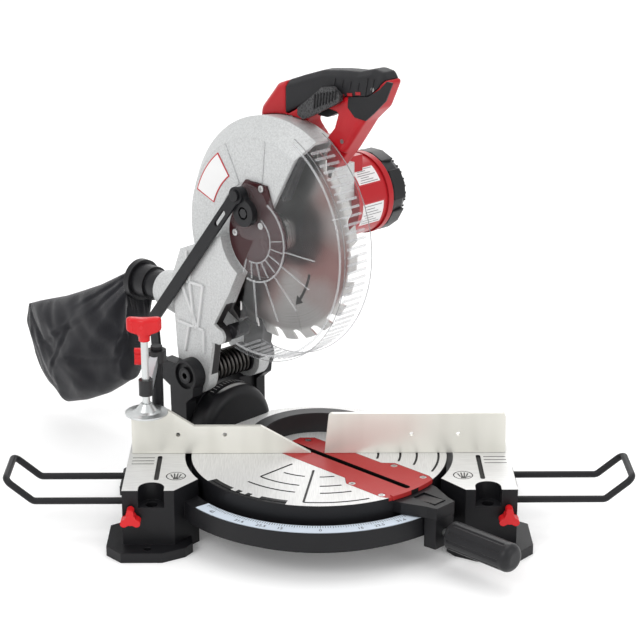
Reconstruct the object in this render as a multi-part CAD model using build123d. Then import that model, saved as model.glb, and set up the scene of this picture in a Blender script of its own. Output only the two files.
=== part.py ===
from build123d import *
from math import acos, atan2, cos, degrees, hypot, pi, radians, sin, sqrt, tan
import os

# Mitre saw, 255 mm blade. Millimetres, +Z up, origin on the mitre axis at bench level.
# The base, fence, wings and clamp are drawn in the row frame: +Y away from the operator.
# The table and everything it carries are drawn straight ahead, with +X towards the operator's
# end of the kerf, +Y to the motor side of the blade and +Z up, then turned to the stored angle.

# ---------------------------------------------------------------- driving dimensions
rest_heading = -45.0          # direction of the kerf's front end, stored at 45 degrees right
saw_half_width = 160.0        # more than the widest piece that a cross bore goes through
slack = 0.3                   # gap between pieces on different bodies
run_fit = 0.05                # radial clearance of a shaft in its bore

# base and table
table_height = 78.0
table_radius = 150.5
pit_radius = 158.0            # round cut-out of the base around the table
ring_radius = 180.0           # outside of the front arc that carries the mitre scale
ring_top = 58.0
ring_bottom = 36.0
block_half_width = 224.0
block_front = -107.0
block_back = 44.0
block_nose = 165.0            # where the block's front face ends and its chamfer starts
block_throat = 139.5
block_throat_y = -75.0
wall = 5.0
deck = 6.0                    # top wall of the blocks
foot_thickness = 11.7
foot_half_width = 243.0
foot_front = -131.5
bolt_x = 195.6                # bench bolt pattern, half spacings
bolt_y = 119.0
bench_bolt_radius = 4.5
web_bottom = 26.0             # plate that ties the blocks together under the table
web_top = 33.0
rear_web_radius = 126.0
hub_radius = 19.0
mitre_bolt_radius = 6.0
mitre_head_room = 12.0

# clamp sockets in the blocks
socket_x = 191.0
socket_front_y = -98.0
socket_back_y = 30.0
socket_floor = 12.0
recess_radius = 14.7
recess_floor = 57.0
post_radius = 6.9

# extension wings
wing_rod_radius = 4.0
wing_z = 48.0
wing_back_y = 4.0
wing_front_y = -67.0
wing_inner_x = 160.0
wing_bend_x = 330.0
wing_end_x = 361.0
wing_end_z = table_height - wing_rod_radius
wing_bend_radius = 9.0
wing_knob_x = 214.0
knob_radius = 12.5
knob_thick = 13.0
knob_screw_radius = 3.0

# fence
fence_thick = 6.0
fence_top = 128.0
fence_left_peak = 132.5
fence_left_step = 112.5
fence_end_x = 220.5
fence_gap_left = 9.6
fence_gap_right = 9.0
fence_foot_back = 40.0
fence_foot_thick = 8.0
fence_hole_z = 102.0
fence_hole_radius = 2.6
fence_bolt_spot = (socket_x - 22.0, 26.0)
fence_bolt_radius = 3.0
bow_inner = 66.0
bow_outer = 82.0
bow_top = 103.0

# hold-down clamp, at the left end of the fence
clamp_x = -201.5
clamp_y = -8.0
clamp_ring = (184.0, 198.0)   # bottom and top of the collar on the post
clamp_nut = (156.0, 175.0)    # bottom and top of the screw's nut
post_top = 203.0
spindle_radius = 4.4
spindle_top = 226.0
pad_radius = 25.0
pad_bottom = fence_left_peak + slack

# table details
skirt_bottom = 38.0
skirt_wall = 6.5
table_deck = 8.0
kerf_width = 8.0
kerf_front = 143.0
kerf_rear = -42.0
insert_thick = 4.0
insert_narrow = 30.5
insert_wide = 41.0
insert_step_from = 72.0
insert_step_to = 84.0
insert_nose = 137.0
insert_rear = -50.0
groove_depth = 0.8
groove_width = 2.6
arm_reach = 198.0
arm_root_half = 34.0
arm_tip_half = 17.0
arm_top = table_height - 4.0
arm_bottom = 24.0
lock_z = 41.0
lock_shank_radius = 4.0
lock_grip_radius = 16.5
lock_grip_from = 208.0
lock_grip_to = 298.0
detent_half = 8.0
detent_pin = (160.0, arm_top - 6.0)
detent_pin_radius = 2.0
detent_pin_half = 13.0

# rear dome and bevel bracket
dome_radius = 59.0
dome_z = 66.0
dome_front = -137.0
dome_back = -165.0
dome_flat = 18.0
bracket_back = -194.0
bracket_radius = 52.0
bevel_z = table_height
bevel_bolt_radius = 6.0

# chop pivot, seen from the blade's left: forward, up
pivot = (-169.0, 147.0)
pivot_shaft_radius = 7.0
lug_radius = 20.0
lug_left = (-60.0, -44.0)
lug_right = (58.0, 72.0)
boss_radius = 26.0
arm_left = (-43.6, -29.0)
arm_right = (40.0, 57.6)
spring_radius = 15.8
spring_wire = 2.0
spring_from = -20.0
spring_to = 34.0
spring_turns = 8.5

# blade and guards
axle = (-67.5, 336.0)
blade_radius = 127.5
blade_teeth = 24
blade_body = 1.8
blade_kerf = 2.6
bore_radius = 15.0
guard_face_radius = 116.0
guard_radius = 138.0
guard_left = -30.0
guard_belly = -6.0
guard_right = 24.0
guard_wall = 4.5
guard_open_from = 60.0        # the casting covers the blade between these angles
guard_open_to = 243.0
guard_pivot = (-77.0, 366.0)
clear_radius = 145.5
clear_wall = 2.5
clear_from = -104.0
clear_to = 63.0
clear_left = -38.5
clear_right = 5.5
clear_hub_radius = 48.0
crank_radius = 22.0
crank_angle = 113.0
link_anchor = (-232.0, 152.0)
link_width = 15.0
link_left = -50.0
link_right = -46.6
link_play = 4.5               # clearance of the link on its rear pin, where the linkage is open
link_pin_radius = 4.0
link_sweep = 24.0             # room around the rear pin that the link's end swings through
guard_bolt_radius = 4.0
cover_spots = ((-59.0, 396.0), (-103.0, 336.0), (-60.0, 352.0))
cover_screw_radius = 2.2
roller_spot = (-126.0, 204.0)

# motor
motor_radius = 47.0
motor_from = 62.0
motor_cap_from = 118.0
motor_to = 150.0
gear_module = 1.25
pinion_teeth = 14
gear_teeth = 51
gear_from = 32.0
gear_to = 44.0
arbor_radius = 8.0
arbor_bolt_radius = 5.0
bearing_radius = 16.0
motor_shaft_radius = 5.0
motor_bearing_radius = 11.0
gear_heading = radians(51.5)  # from the blade's axle up to the motor's
gear_distance = gear_module * (pinion_teeth + gear_teeth) / 2
motor_axis = (axle[0] + gear_distance * cos(gear_heading), axle[1] + gear_distance * sin(gear_heading))

# handle
handle_left = 16.0
handle_right = 48.0
handle_foot = 420.0
lever_pin = (-36.0, 481.0)
trigger_pin = (-29.0, 501.0)

# dust outlet and bag
port = (-5.0, 226.0)          # across, up
port_back = -262.0
adapter_small = 18.5
adapter_large = 21.5
adapter_back = -314.0
collar_radius = 26.0


# ---------------------------------------------------------------- drawing helpers
def slab(sketch, left, right):
    """A sketch in (forward, up), made a plate between two distances from the blade."""
    return extrude(Plane.XZ.offset(-left) * sketch, amount=left - right)


def lift(sketch, bottom, top):
    """A sketch in plan, made a plate between two heights."""
    return extrude(Plane.XY.offset(bottom) * sketch, amount=top - bottom)


def along(sketch, back, front):
    """A sketch in (across, up), made a bar between two distances along the kerf."""
    return extrude(Plane.YZ.offset(back) * sketch, amount=front - back)


def disc(centre, radius):
    return Pos(centre[0], centre[1]) * Circle(radius)


def outline(*points):
    return make_face(Polyline(*points, close=True))


def ring(inner, outer):
    return Circle(outer) - Circle(inner)


def cross_bore(centre, radius):
    """A bore from side to side, right through the saw."""
    return slab(disc(centre, radius), -saw_half_width, saw_half_width)


def sector(radius, start, end, reach=4.0):
    """A pie slice about the origin, used to keep part of a round."""
    span = end - start
    count = max(2, int(span // 40) + 1)
    spots = [start + span * i / count for i in range(count + 1)]
    rim = [(reach * radius * cos(radians(a)), reach * radius * sin(radians(a))) for a in spots]
    return outline((0, 0), *rim)


def polar(centre, radius, angle):
    return (centre[0] + radius * cos(radians(angle)), centre[1] + radius * sin(radians(angle)))


def turned(part):
    """Place a piece that was drawn straight ahead at the stored mitre angle."""
    return Rot(0, 0, rest_heading) * part


def both(part):
    """A piece and its mirror image on the other side of the base."""
    return [part, mirror(part, about=Plane.YZ)]


def hex_head(across, thick):
    return extrude(RegularPolygon(across / sqrt(3), 6), amount=thick)


def three_lobe(radius, thick):
    """A three-lobed knob on +Z, with a round stem underneath it."""
    plan = Circle(radius * 0.52)
    for k in range(3):
        tip = Pos(*polar((0, 0), radius * 0.66, 90 + 120 * k)) * Circle(radius * 0.34)
        plan += tip
        plan += Rot(0, 0, 120 * k) * Pos(0, radius * 0.33) * Rectangle(radius * 0.68, radius * 0.66)
    knob = extrude(plan, amount=thick)
    return knob + Pos(0, 0, -2) * extrude(Circle(radius * 0.4), amount=2)


def spur(teeth, width):
    """An involute gear on +Z with stub teeth and a little backlash."""
    pressure = radians(20)
    pitch = gear_module * teeth / 2
    base = pitch * cos(pressure)
    tip = pitch + 0.8 * gear_module
    root = pitch - 1.05 * gear_module

    def roll(radius):
        angle = acos(base / radius)
        return tan(angle) - angle

    half = pi / (2 * teeth) - 0.09 / pitch + roll(pitch)
    start = max(base, root) + 0.01
    radii = [start + (tip - start) * i / 3 for i in range(4)]
    flank = [(r, half - roll(r)) for r in radii]
    tooth = [(root - 1, flank[0][1])] + flank
    tooth = [(r * cos(a), r * sin(a)) for r, a in tooth]
    mirrored = [(x, -y) for x, y in reversed(tooth)]
    blank = Circle(root)
    shape = outline(*tooth, *mirrored)
    blank += [Rot(0, 0, 360 * k / teeth) * shape for k in range(teeth)]
    return extrude(blank, amount=width)


# ---------------------------------------------------------------- base, fence, scale
def block_plan():
    return outline((block_nose, block_front), (block_half_width, block_front),
                   (block_half_width, block_back), (115, block_back),
                   (115, block_throat_y), (block_throat, block_throat_y))


def right_block():
    plan = block_plan()
    body = lift(plan, 0, table_height)
    body -= lift(offset(plan, -wall) - Circle(pit_radius + wall), -1, table_height - deck)
    body -= lift(Circle(pit_radius), -1, table_height + 1)
    socket = Pos(socket_x, socket_back_y) * Circle(post_radius + 5)
    body += lift(socket, 0, table_height - 1)
    recess_wall = Pos(socket_x, socket_front_y) * Circle(recess_radius + 4)
    body += lift(recess_wall & plan, recess_floor - 36, table_height - 1)
    for y in (wing_front_y, wing_back_y):
        guide = Pos(y, wing_z) * Circle(wing_rod_radius + 4.5)
        body += along(guide, wing_inner_x + 4, block_half_width - 1)
    nut_boss = Pos(wing_knob_x, wing_z) * Circle(knob_screw_radius + 4.5)
    body += slab(nut_boss, block_front + 1, wing_front_y)
    post_hole = Pos(socket_x, socket_back_y) * Circle(post_radius + run_fit)
    body -= lift(post_hole, socket_floor, table_height + 1)
    notch = Circle(recess_radius) + Pos(0, -20) * Rectangle(2 * recess_radius, 40)
    body -= lift(Pos(socket_x, socket_front_y) * notch, recess_floor, table_height + 1)
    front_hole = Pos(socket_x, socket_front_y) * Circle(post_radius + run_fit)
    body -= lift(front_hole, recess_floor - 30, recess_floor + 1)
    knob_hole = Pos(wing_knob_x, wing_z) * Circle(knob_screw_radius + run_fit)
    body -= slab(knob_hole, block_front - 1, wing_front_y)
    return body


def block_grooves():
    """Shallow marks in the machined top of the right block."""
    marks = [Pos(206, y) * Rectangle(26, 1.6) for y in (-12, -21, -30)]
    slot = Pos(socket_x - 4, -42) * SlotOverall(70, 5.5, rotation=90)
    badge = Pos(socket_x - 26, -66) * (Circle(11.5) - Circle(10.3))
    cuts = [lift(m, table_height - groove_depth, table_height + 1) for m in marks]
    cuts.append(lift(slot, table_height - 2 * groove_depth, table_height + 1))
    cuts.append(lift(badge, table_height - groove_depth, table_height + 1))
    return cuts


def right_foot():
    front = outline((178, foot_front), (225, foot_front), (foot_half_width, -112),
                    (foot_half_width, -56), (block_half_width - 3, -40), (168, -40),
                    (151, -63), (145, block_front + 3), (153, -117))
    back = outline((180, -foot_front), (225, -foot_front), (foot_half_width, 112),
                   (foot_half_width, 56), (block_half_width - 2, block_back - 8), (156, block_back - 8),
                   (166, 60))
    pad = lift(front, 0, foot_thickness) + lift(back, 0, foot_thickness)
    pad = chamfer(pad.faces().sort_by(Axis.Z)[-1].outer_wire().edges(), 1.2)
    for y in (-bolt_y, bolt_y):
        pad -= lift(Pos(bolt_x, y) * Circle(bench_bolt_radius), -1, foot_thickness + 1)
    return pad


def half_base():
    """The +X half of the base casting, up to the plane of symmetry."""
    half = Pos(250, 0) * Rectangle(500, 600)
    plate = (Circle(pit_radius + 3.3) & Pos(0, -100) * Rectangle(400, 200)) + \
        (Circle(rear_web_radius) & Pos(0, 60) * Rectangle(400, 130))
    body = lift(plate & half, web_bottom, web_top)
    front = Pos(250, -110) * Rectangle(500, 140)
    body += lift(ring(pit_radius + 1.2, ring_radius) & front, ring_bottom, ring_top)
    body += lift(ring(pit_radius - 2.5, pit_radius + 4.1) & front, web_bottom + 0.7, ring_bottom + 2)
    body += right_block()
    for foot in right_foot().solids():
        body += foot
    for y in (wing_front_y, wing_back_y):
        bore = Pos(y, wing_z) * Circle(wing_rod_radius + run_fit)
        body -= along(bore, wing_inner_x - 22, block_half_width + 1)
    for cut in block_grooves():
        body -= cut
    bolt_hole = Pos(*fence_bolt_spot) * Circle(fence_bolt_radius + 0.2)
    body -= lift(bolt_hole, table_height - deck - 2, table_height + 1)
    return body


def base_casting():
    half = half_base()
    body = half + mirror(half, about=Plane.YZ)
    body += lift(Circle(hub_radius), web_bottom - 6, skirt_bottom)
    return body - lift(Circle(mitre_bolt_radius + run_fit), 0, 60)


def fence():
    left = outline((-fence_end_x, table_height + slack), (-fence_end_x, fence_left_peak),
                   (-177, fence_left_peak), (-147, fence_left_step), (-68.5, fence_left_step),
                   (-fence_gap_left, table_height + slack))
    right = outline((fence_gap_right - 2.5, table_height + slack), (fence_gap_right + 2.5, fence_top),
                    (fence_end_x - 1, fence_top), (fence_end_x, table_height + slack))
    faces = slab(left, 0, fence_thick) + slab(right, 0, fence_thick)
    upright = faces.edges().filter_by(Axis.Y).group_by(Axis.Z)[-1] + \
        faces.edges().filter_by(Axis.Y).filter_by(lambda e: e.center().X > 5).group_by(Axis.Z)[-1]
    faces = fillet(upright.filter_by(lambda e: e.center().X > 0), 5)
    foot = lift(outline((fence_end_x, fence_thick - 1), (fence_end_x, fence_foot_back - 22),
                        (socket_x - 12, fence_foot_back), (pit_radius - 4, fence_foot_back),
                        (bow_outer - 8, fence_foot_back - 8), (bow_outer - 8, fence_thick - 1)),
                table_height + slack, table_height + fence_foot_thick)
    foot -= lift(Pos(socket_x, socket_back_y) * Circle(post_radius + 3), 0, 200)
    body = faces
    for side in both(foot):
        body += side
    back_half = Pos(0, 60) * Rectangle(300, 120 - 2 * fence_thick + 10)
    bow = lift(ring(bow_inner, bow_outer) & back_half, table_height + slack, bow_top)
    body += bow
    for x in (-166, -111, 109, 164):
        body -= slab(Pos(x, fence_hole_z) * Circle(fence_hole_radius), -1, fence_thick + 1)
    x, y = fence_bolt_spot
    for side in (-1, 1):
        bolt_hole = Pos(side * x, y) * Circle(fence_bolt_radius + 0.2)
        body -= lift(bolt_hole, table_height, table_height + fence_foot_thick + 1)
    return body


def fence_bolts():
    x, y = fence_bolt_spot
    shank = lift(Pos(x, y) * Circle(fence_bolt_radius), table_height - deck, table_height + fence_foot_thick)
    head = Pos(x, y, table_height + fence_foot_thick) * hex_head(10, 5)
    return Compound(children=both(shank + head))


def mitre_scale():
    strip = ring(pit_radius + 2.5, ring_radius - 2) & sector(ring_radius, 218, 322)
    return lift(strip, ring_top, ring_top + 0.8)


# ---------------------------------------------------------------- wings and their knobs
def right_wing():
    route = FilletPolyline((wing_inner_x, wing_back_y, wing_z), (wing_bend_x, wing_back_y, wing_z),
                           (wing_end_x, wing_back_y, wing_end_z), (wing_end_x, wing_front_y, wing_end_z),
                           (wing_bend_x, wing_front_y, wing_z), (wing_inner_x, wing_front_y, wing_z),
                           radius=wing_bend_radius)
    start = Plane(origin=route @ 0, z_dir=route % 0)
    return sweep(start * Circle(wing_rod_radius), path=route)


def right_wing_knob():
    knob = three_lobe(knob_radius, knob_thick)
    shank_length = wing_front_y - wing_rod_radius - slack - block_front
    shank = Pos(0, 0, -shank_length) * extrude(Circle(knob_screw_radius), amount=shank_length)
    piece = Pos(0, 0, 2 + slack) * knob + shank + extrude(Circle(knob_screw_radius), amount=3)
    return Pos(wing_knob_x, block_front, wing_z) * Rot(90, 0, 0) * piece


# ---------------------------------------------------------------- clamp
def clamp_post():
    return lift(Pos(-socket_x, socket_back_y) * Circle(post_radius), socket_floor + slack, post_top)


def clamp_arm():
    top, low = clamp_ring[1], clamp_nut[0]
    body = lift(Pos(-socket_x, socket_back_y) * Circle(post_radius + 4.5), clamp_ring[0], top)
    body += lift(Pos(clamp_x, clamp_y) * Circle(8.2), low, clamp_nut[1])
    reach = hypot(clamp_x + socket_x, clamp_y - socket_back_y)
    heading = degrees(atan2(clamp_y - socket_back_y, clamp_x + socket_x))
    rib = outline((6, top - 1), (reach - 6, clamp_nut[1] - 1), (reach - 4, low + 2),
                  (reach - 9, low + 1), (8, clamp_ring[0] + 1))
    body += Pos(-socket_x, socket_back_y, 0) * Rot(0, 0, heading) * slab(rib, -5, 5)
    body -= lift(Pos(-socket_x, socket_back_y) * Circle(post_radius + run_fit), clamp_ring[0] - 9, top + 1)
    body -= lift(Pos(clamp_x, clamp_y) * Circle(spindle_radius + run_fit), low - 1, clamp_nut[1] + 1)
    screw_hole = Pos(socket_back_y, sum(clamp_ring) / 2) * Circle(knob_screw_radius + run_fit)
    return body - along(screw_hole, -socket_x - 40, -socket_x)


def clamp_spindle():
    return lift(Pos(clamp_x, clamp_y) * Circle(spindle_radius), pad_bottom + 9, spindle_top)


def clamp_knob():
    neck = lift(Pos(clamp_x, clamp_y) * Circle(6.8), spindle_top - 4, spindle_top + 5)
    bar = lift(Pos(clamp_x, clamp_y) * SlotOverall(41, 17), spindle_top + 4, spindle_top + 26)
    bar = fillet(bar.edges().group_by(Axis.Z)[-1], 5)
    return neck + bar - lift(Pos(clamp_x, clamp_y) * Circle(spindle_radius), spindle_top - 5, spindle_top)


def clamp_pad():
    dish = Polyline((0, 0), (pad_radius, 0), (pad_radius, 2), (pad_radius - 8, 3.2),
                    (13, 5), (6.5, 13), (0, 13), close=True)
    body = revolve(Plane.XZ * make_face(dish), Axis.Z)
    body -= Pos(0, 0, 8.7) * extrude(Circle(spindle_radius + slack), amount=10)
    return Pos(clamp_x, clamp_y, pad_bottom) * body


def clamp_side_knob():
    screw_length = 4.5 + slack - run_fit
    piece = Pos(0, 0, 2) * three_lobe(11.5, 12)
    piece += Pos(0, 0, -screw_length) * extrude(Circle(knob_screw_radius), amount=screw_length + 1)
    start = -socket_x - post_radius - 4.5 - slack
    return Pos(start, socket_back_y, sum(clamp_ring) / 2) * Rot(0, -90, 0) * piece


# ---------------------------------------------------------------- table
def insert_plan(grow=0.0):
    wide, narrow = insert_wide + grow, insert_narrow + grow
    half = [(insert_rear - grow, narrow - 12), (insert_rear + 12, narrow),
            (insert_step_from - grow, narrow), (insert_step_to - grow, wide),
            (insert_nose + grow, wide), (table_radius + 3, wide - 8)]
    plan = outline(*half, *[(x, -y) for x, y in reversed(half)])
    return plan & Circle(table_radius + (1.0 if grow else 0.0))


def kerf_slot(width, rear, front):
    return Pos((rear + front) / 2, 0) * SlotOverall(front - rear, width)


def arc_groove(radius, start, end):
    return ring(radius - groove_width / 2, radius + groove_width / 2) & sector(radius, start, end)


def table_grooves():
    """Marks cut in the table top: arcs about the mitre axis joined by straight radial lines."""
    marks = [arc_groove(70, -81, -59), arc_groove(96, -90, -59), arc_groove(115.5, -90, -59),
             arc_groove(70, -45, -31), arc_groove(96, -45, -30), arc_groove(115.5, -45, -27),
             arc_groove(141, -52.6, -22)]
    marks += [arc_groove(70, 31, 46), arc_groove(96, 30, 59)]
    marks += [arc_groove(115.5, 27, 59), arc_groove(141, 22, 52)]
    marks.append(Pos(0, -70) * Rectangle(groove_width, 51))
    marks.append(Rot(0, 0, -52.6) * Pos(96, 0) * Rectangle(90, groove_width))
    marks.append(Rot(0, 0, 52.6) * Pos(118, 0) * Rectangle(46, groove_width))
    return marks


def turntable():
    body = lift(Circle(table_radius), skirt_bottom, table_height)
    body -= lift(Circle(table_radius - skirt_wall), skirt_bottom - 1, table_height - table_deck)
    for angle in (60, 120, 150, 210, 240, 300):
        rib = Rot(0, 0, angle) * Pos(table_radius / 2, 0) * Rectangle(table_radius - 4, 5)
        body += lift(rib, skirt_bottom + 14, table_height - table_deck + 1)
    # front arm: tapered rails with the detent lever between them, and the lock screw's nose
    arm = outline((130, -arm_root_half), (130, arm_root_half), (158, arm_root_half - 4),
                  (arm_reach - 12, arm_tip_half + 1), (arm_reach, arm_tip_half - 2),
                  (arm_reach, 2 - arm_tip_half), (arm_reach - 12, -arm_tip_half - 1),
                  (158, 4 - arm_root_half))
    body += lift(arm, ring_top + 2.2, arm_top)
    nose = outline((ring_radius + 1.5, -arm_tip_half), (ring_radius + 1.5, arm_tip_half),
                   (arm_reach - 1, arm_tip_half - 2), (arm_reach - 1, 2 - arm_tip_half))
    body += lift(nose, arm_bottom, arm_top - 6)
    body -= lift(Pos((157 + arm_reach - 8) / 2, 0) * Rectangle(arm_reach - 8 - 157, 2 * detent_half + 3),
                 ring_top + 5, arm_top + 1)
    pin_room = detent_pin_half + slack
    body -= slab(disc(detent_pin, detent_pin_radius + run_fit), -pin_room, pin_room)
    # rear neck and dome
    neck = Pos(-150, 0) * Rectangle(30, 92)
    body += lift(neck, skirt_bottom + 2, table_height - 8)
    dome = along(Pos(0, dome_z) * Circle(dome_radius), dome_back, dome_front)
    dome = fillet(dome.edges().sort_by(Axis.X)[-1:], 13)
    dome -= Pos(dome_front, 0, dome_flat - 50) * Box(120, 200, 100)
    body += dome
    # openings: insert seat, slot under it, lock screw, mitre bolt, bevel bolt
    body -= lift(insert_plan(slack), table_height - insert_thick - slack, table_height + 1)
    under = Pos((kerf_rear + 148) / 2, 0) * Rectangle(148 - kerf_rear, 44)
    body -= lift(under & Circle(table_radius - skirt_wall - 2), table_height - 30, table_height + 1)
    body -= lift(kerf_slot(26, -126, -20), table_height - 40, table_height - 20)
    body -= along(Pos(0, lock_z) * Circle(lock_shank_radius + run_fit), ring_radius - 5, arm_reach + 5)
    bridge = Rectangle(34, 2 * table_radius - skirt_wall) & Circle(table_radius - skirt_wall / 2)
    body += lift(bridge, skirt_bottom + slack, table_height - 32)
    body -= lift(Circle(mitre_bolt_radius + run_fit), 0, table_height - 25)
    body -= lift(Circle(mitre_head_room), table_height - 32, table_height - 25)
    body -= along(Pos(0, bevel_z) * Circle(bevel_bolt_radius), dome_back - 1, dome_front - 8)
    # marks cut in the top
    top = table_height - groove_depth
    marks = table_grooves() + [arc_groove(146, -103, -60)]
    body -= [lift(mark, top, table_height + 1) for mark in marks]
    return body


def kerf_insert():
    body = lift(insert_plan() & Circle(table_radius), table_height - insert_thick, table_height)
    lip = ring(table_radius - 4, table_radius + 1.5) & sector(table_radius, -12.5, 12.5)
    body += lift(lip, arm_top + 0.4, table_height + 1.6)
    body -= lift(kerf_slot(kerf_width, kerf_rear, kerf_front), 0, 200)
    for x, y in insert_screw_spots():
        body -= lift(Pos(x, y) * Circle(2.2), 0, 200)
        body -= lift(Pos(x, y) * Circle(4.2), table_height - 1.8, 200)
    return body


def insert_screw_spots():
    return [(88, 35), (88, -36), (134, 34), (134, -36), (-38, 20), (-38, -20)]


def insert_screws():
    screws = []
    for x, y in insert_screw_spots():
        head = lift(Pos(x, y) * (Circle(4.0) - Rectangle(5, 1) - Rectangle(1, 5)),
                    table_height - 1.8, table_height - 0.3)
        head += lift(Pos(x, y) * Circle(4.0), table_height - 1.8, table_height - 1.2)
        screws.append(turned(head + lift(Pos(x, y) * Circle(2.1), table_height - insert_thick - slack,
                                         table_height - 1.5)))
    return Compound(children=screws)


def mitre_bolt():
    shank = lift(Circle(mitre_bolt_radius), web_bottom - 6, table_height - 32)
    head = Pos(0, 0, table_height - 32) * hex_head(19, 7)
    nut = Pos(0, 0, web_bottom - 16) * hex_head(19, 10)
    return shank + head + nut


def detent_lever():
    plate = outline((158, arm_top - 7), (184, arm_top - 7), (189, arm_top - 3), (189, arm_top + 1),
                    (170, arm_top - 1), (158, arm_top - 2))
    body = slab(plate, -detent_half, detent_half)
    tongue_bottom = ring_top + 5 + slack
    body += slab(outline((158, tongue_bottom), (162, tongue_bottom), (162, arm_top - 3), (158, arm_top - 3)),
                 -4, 4)
    return body + slab(disc(detent_pin, detent_pin_radius), -detent_pin_half, detent_pin_half)


def lock_handle():
    grip = along(Pos(0, lock_z) * Circle(lock_grip_radius), lock_grip_from, lock_grip_to)
    grip = fillet(grip.edges().sort_by(Axis.X)[-1:], 9)
    grip = chamfer(grip.edges().sort_by(Axis.X)[:1], 2)
    for k in range(10):
        spot = polar((0, lock_z), lock_grip_radius + 1.2, 36 * k)
        grip -= along(disc(spot, 2.2), lock_grip_from + 6, lock_grip_to - 12)
    return grip - along(Pos(0, lock_z) * Circle(lock_shank_radius), lock_grip_from - 1, lock_grip_from + 20)


def lock_shank():
    return along(Pos(0, lock_z) * Circle(lock_shank_radius), ring_radius + slack, lock_grip_from + 20)


# ---------------------------------------------------------------- bevel bracket
def leg_profile():
    """Side view of the left leg, from the rear plate up to the pivot lug."""
    x, z = pivot
    return outline((dome_back - 2, 60), (bracket_back, 60), (bracket_back - 2, z - 16),
                   (x - 12, z + 2), (x + lug_radius - 3, z), (dome_back + 10, z - 24),
                   (dome_back - 2, z - 34))


def bevel_room():
    """Room that the dome needs inside the bracket and the head as they tilt."""
    return along(Pos(0, bevel_z) * Circle(dome_radius + 2 * slack), dome_back - slack, dome_front)


def bevel_bracket():
    front, back = dome_back - slack, bracket_back
    body = along(Pos(0, bevel_z) * Circle(bracket_radius), back, front)
    plate = outline((-60, 64), (-60, 128), (-30, 132), (40, 132), (72, 128), (72, 84), (40, 50), (-40, 50))
    body += along(plate, back, front - 6)
    body += slab(leg_profile() + disc(pivot, lug_radius), *lug_left)
    body += slab(leg_profile() + disc(pivot, lug_radius), *lug_right)
    # rear arm that carries the guard link's pin
    x, z = link_anchor
    rear = outline((pivot[0] - 8, pivot[1] + 12), (x + 2, z + 8), (x, z - 8), (pivot[0] - 16, pivot[1] - 24))
    body += slab(rear + disc(link_anchor, 10), lug_left[0], link_left - 1.4)
    body += slab(rear, lug_left[0], lug_left[1])
    body -= slab(disc(link_anchor, link_sweep), link_left - 1.4, 0)
    body -= cross_bore(pivot, pivot_shaft_radius)
    # clearance for the arm's bosses between the lugs
    body -= slab(disc(pivot, boss_radius + 1.5), lug_left[1] + 0.1, lug_right[0] - 0.1)
    body -= slab(disc(link_anchor, link_pin_radius), lug_left[0] - 1, 0)
    body -= along(Pos(0, bevel_z) * Circle(bevel_bolt_radius + run_fit), back - 1, front + 1)
    # lightening pocket and ribs in the left lug's outer face
    pocket = Pos(*pivot) * ring(pivot_shaft_radius + 3, lug_radius - 3.5)
    body -= slab(pocket, lug_left[0] - 1, lug_left[0] + 4)
    return body - bevel_room()


def link_pin():
    pin = slab(disc(link_anchor, link_pin_radius), lug_left[0], link_right + 2.5)
    return pin + slab(disc(link_anchor, 11), link_right + slack, link_right + 3)


def pivot_shaft():
    shaft = slab(disc(pivot, pivot_shaft_radius), lug_left[0], lug_right[1] + 4)
    shaft += slab(disc(pivot, pivot_shaft_radius + 4), lug_right[1], lug_right[1] + 6)
    socket = Pos(*pivot) * RegularPolygon(4.2, 6)
    return shaft - slab(socket, lug_left[0] - 1, lug_left[0] + 6)


def return_spring():
    pitch = (spring_to - spring_from) / spring_turns
    coil = Helix(pitch=pitch, height=spring_to - spring_from, radius=spring_radius)
    start = Plane(origin=coil @ 0, z_dir=coil % 0)
    wire = sweep(start * Circle(spring_wire), path=coil, is_frenet=True)
    return Pos(pivot[0], spring_from, pivot[1]) * Rot(-90, 0, 0) * wire


def spring_spool():
    """Sleeve on the pivot shaft that carries the spring, with a flange at each end."""
    tube = Pos(*pivot) * ring(pivot_shaft_radius, spring_radius - spring_wire - slack)
    flange = Pos(*pivot) * ring(pivot_shaft_radius, spring_radius + spring_wire + 0.6)
    low, high = spring_from - spring_wire - slack, spring_to + spring_wire + slack
    return slab(tube, low - 2, high + 2) + slab(flange, low - 2, low) + slab(flange, high, high + 2)


def bevel_bolt():
    return along(Pos(0, bevel_z) * Circle(bevel_bolt_radius), bracket_back - 16, dome_front - 8)


def bevel_lever():
    body = along(Pos(0, bevel_z) * Circle(11), bracket_back - 16, bracket_back - 1)
    bar = outline((-8, bevel_z - 5), (8, bevel_z - 5), (7, bevel_z - 46), (0, bevel_z - 50),
                  (-7, bevel_z - 46))
    body += along(bar, bracket_back - 16, bracket_back - 7)
    bore = Pos(0, bevel_z) * Circle(bevel_bolt_radius + run_fit)
    return body - along(bore, bracket_back - 17, bracket_back)


def bevel_scale():
    arc = ring(dome_radius, dome_radius + 0.8) & sector(dome_radius, 62, 118)
    return along(Pos(0, dome_z) * arc, dome_back + 1, dome_front - 14)


# ---------------------------------------------------------------- head casting and guards
def around_axle(sketch):
    return Pos(*axle) * sketch


def casting_profile(radius):
    return around_axle(Circle(radius) & sector(radius, guard_open_from, guard_open_to))


def arm_profile():
    x, z = pivot
    return outline((x - 28, z + 8), (-200, 176), (-200, 212), (-206, 262), (-190, 300), (-120, 330),
                   polar(axle, 30, guard_open_to), polar(axle, 84, guard_open_to), (-137, 210),
                   (-136, 187), (x + 26, z + 4))


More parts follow.
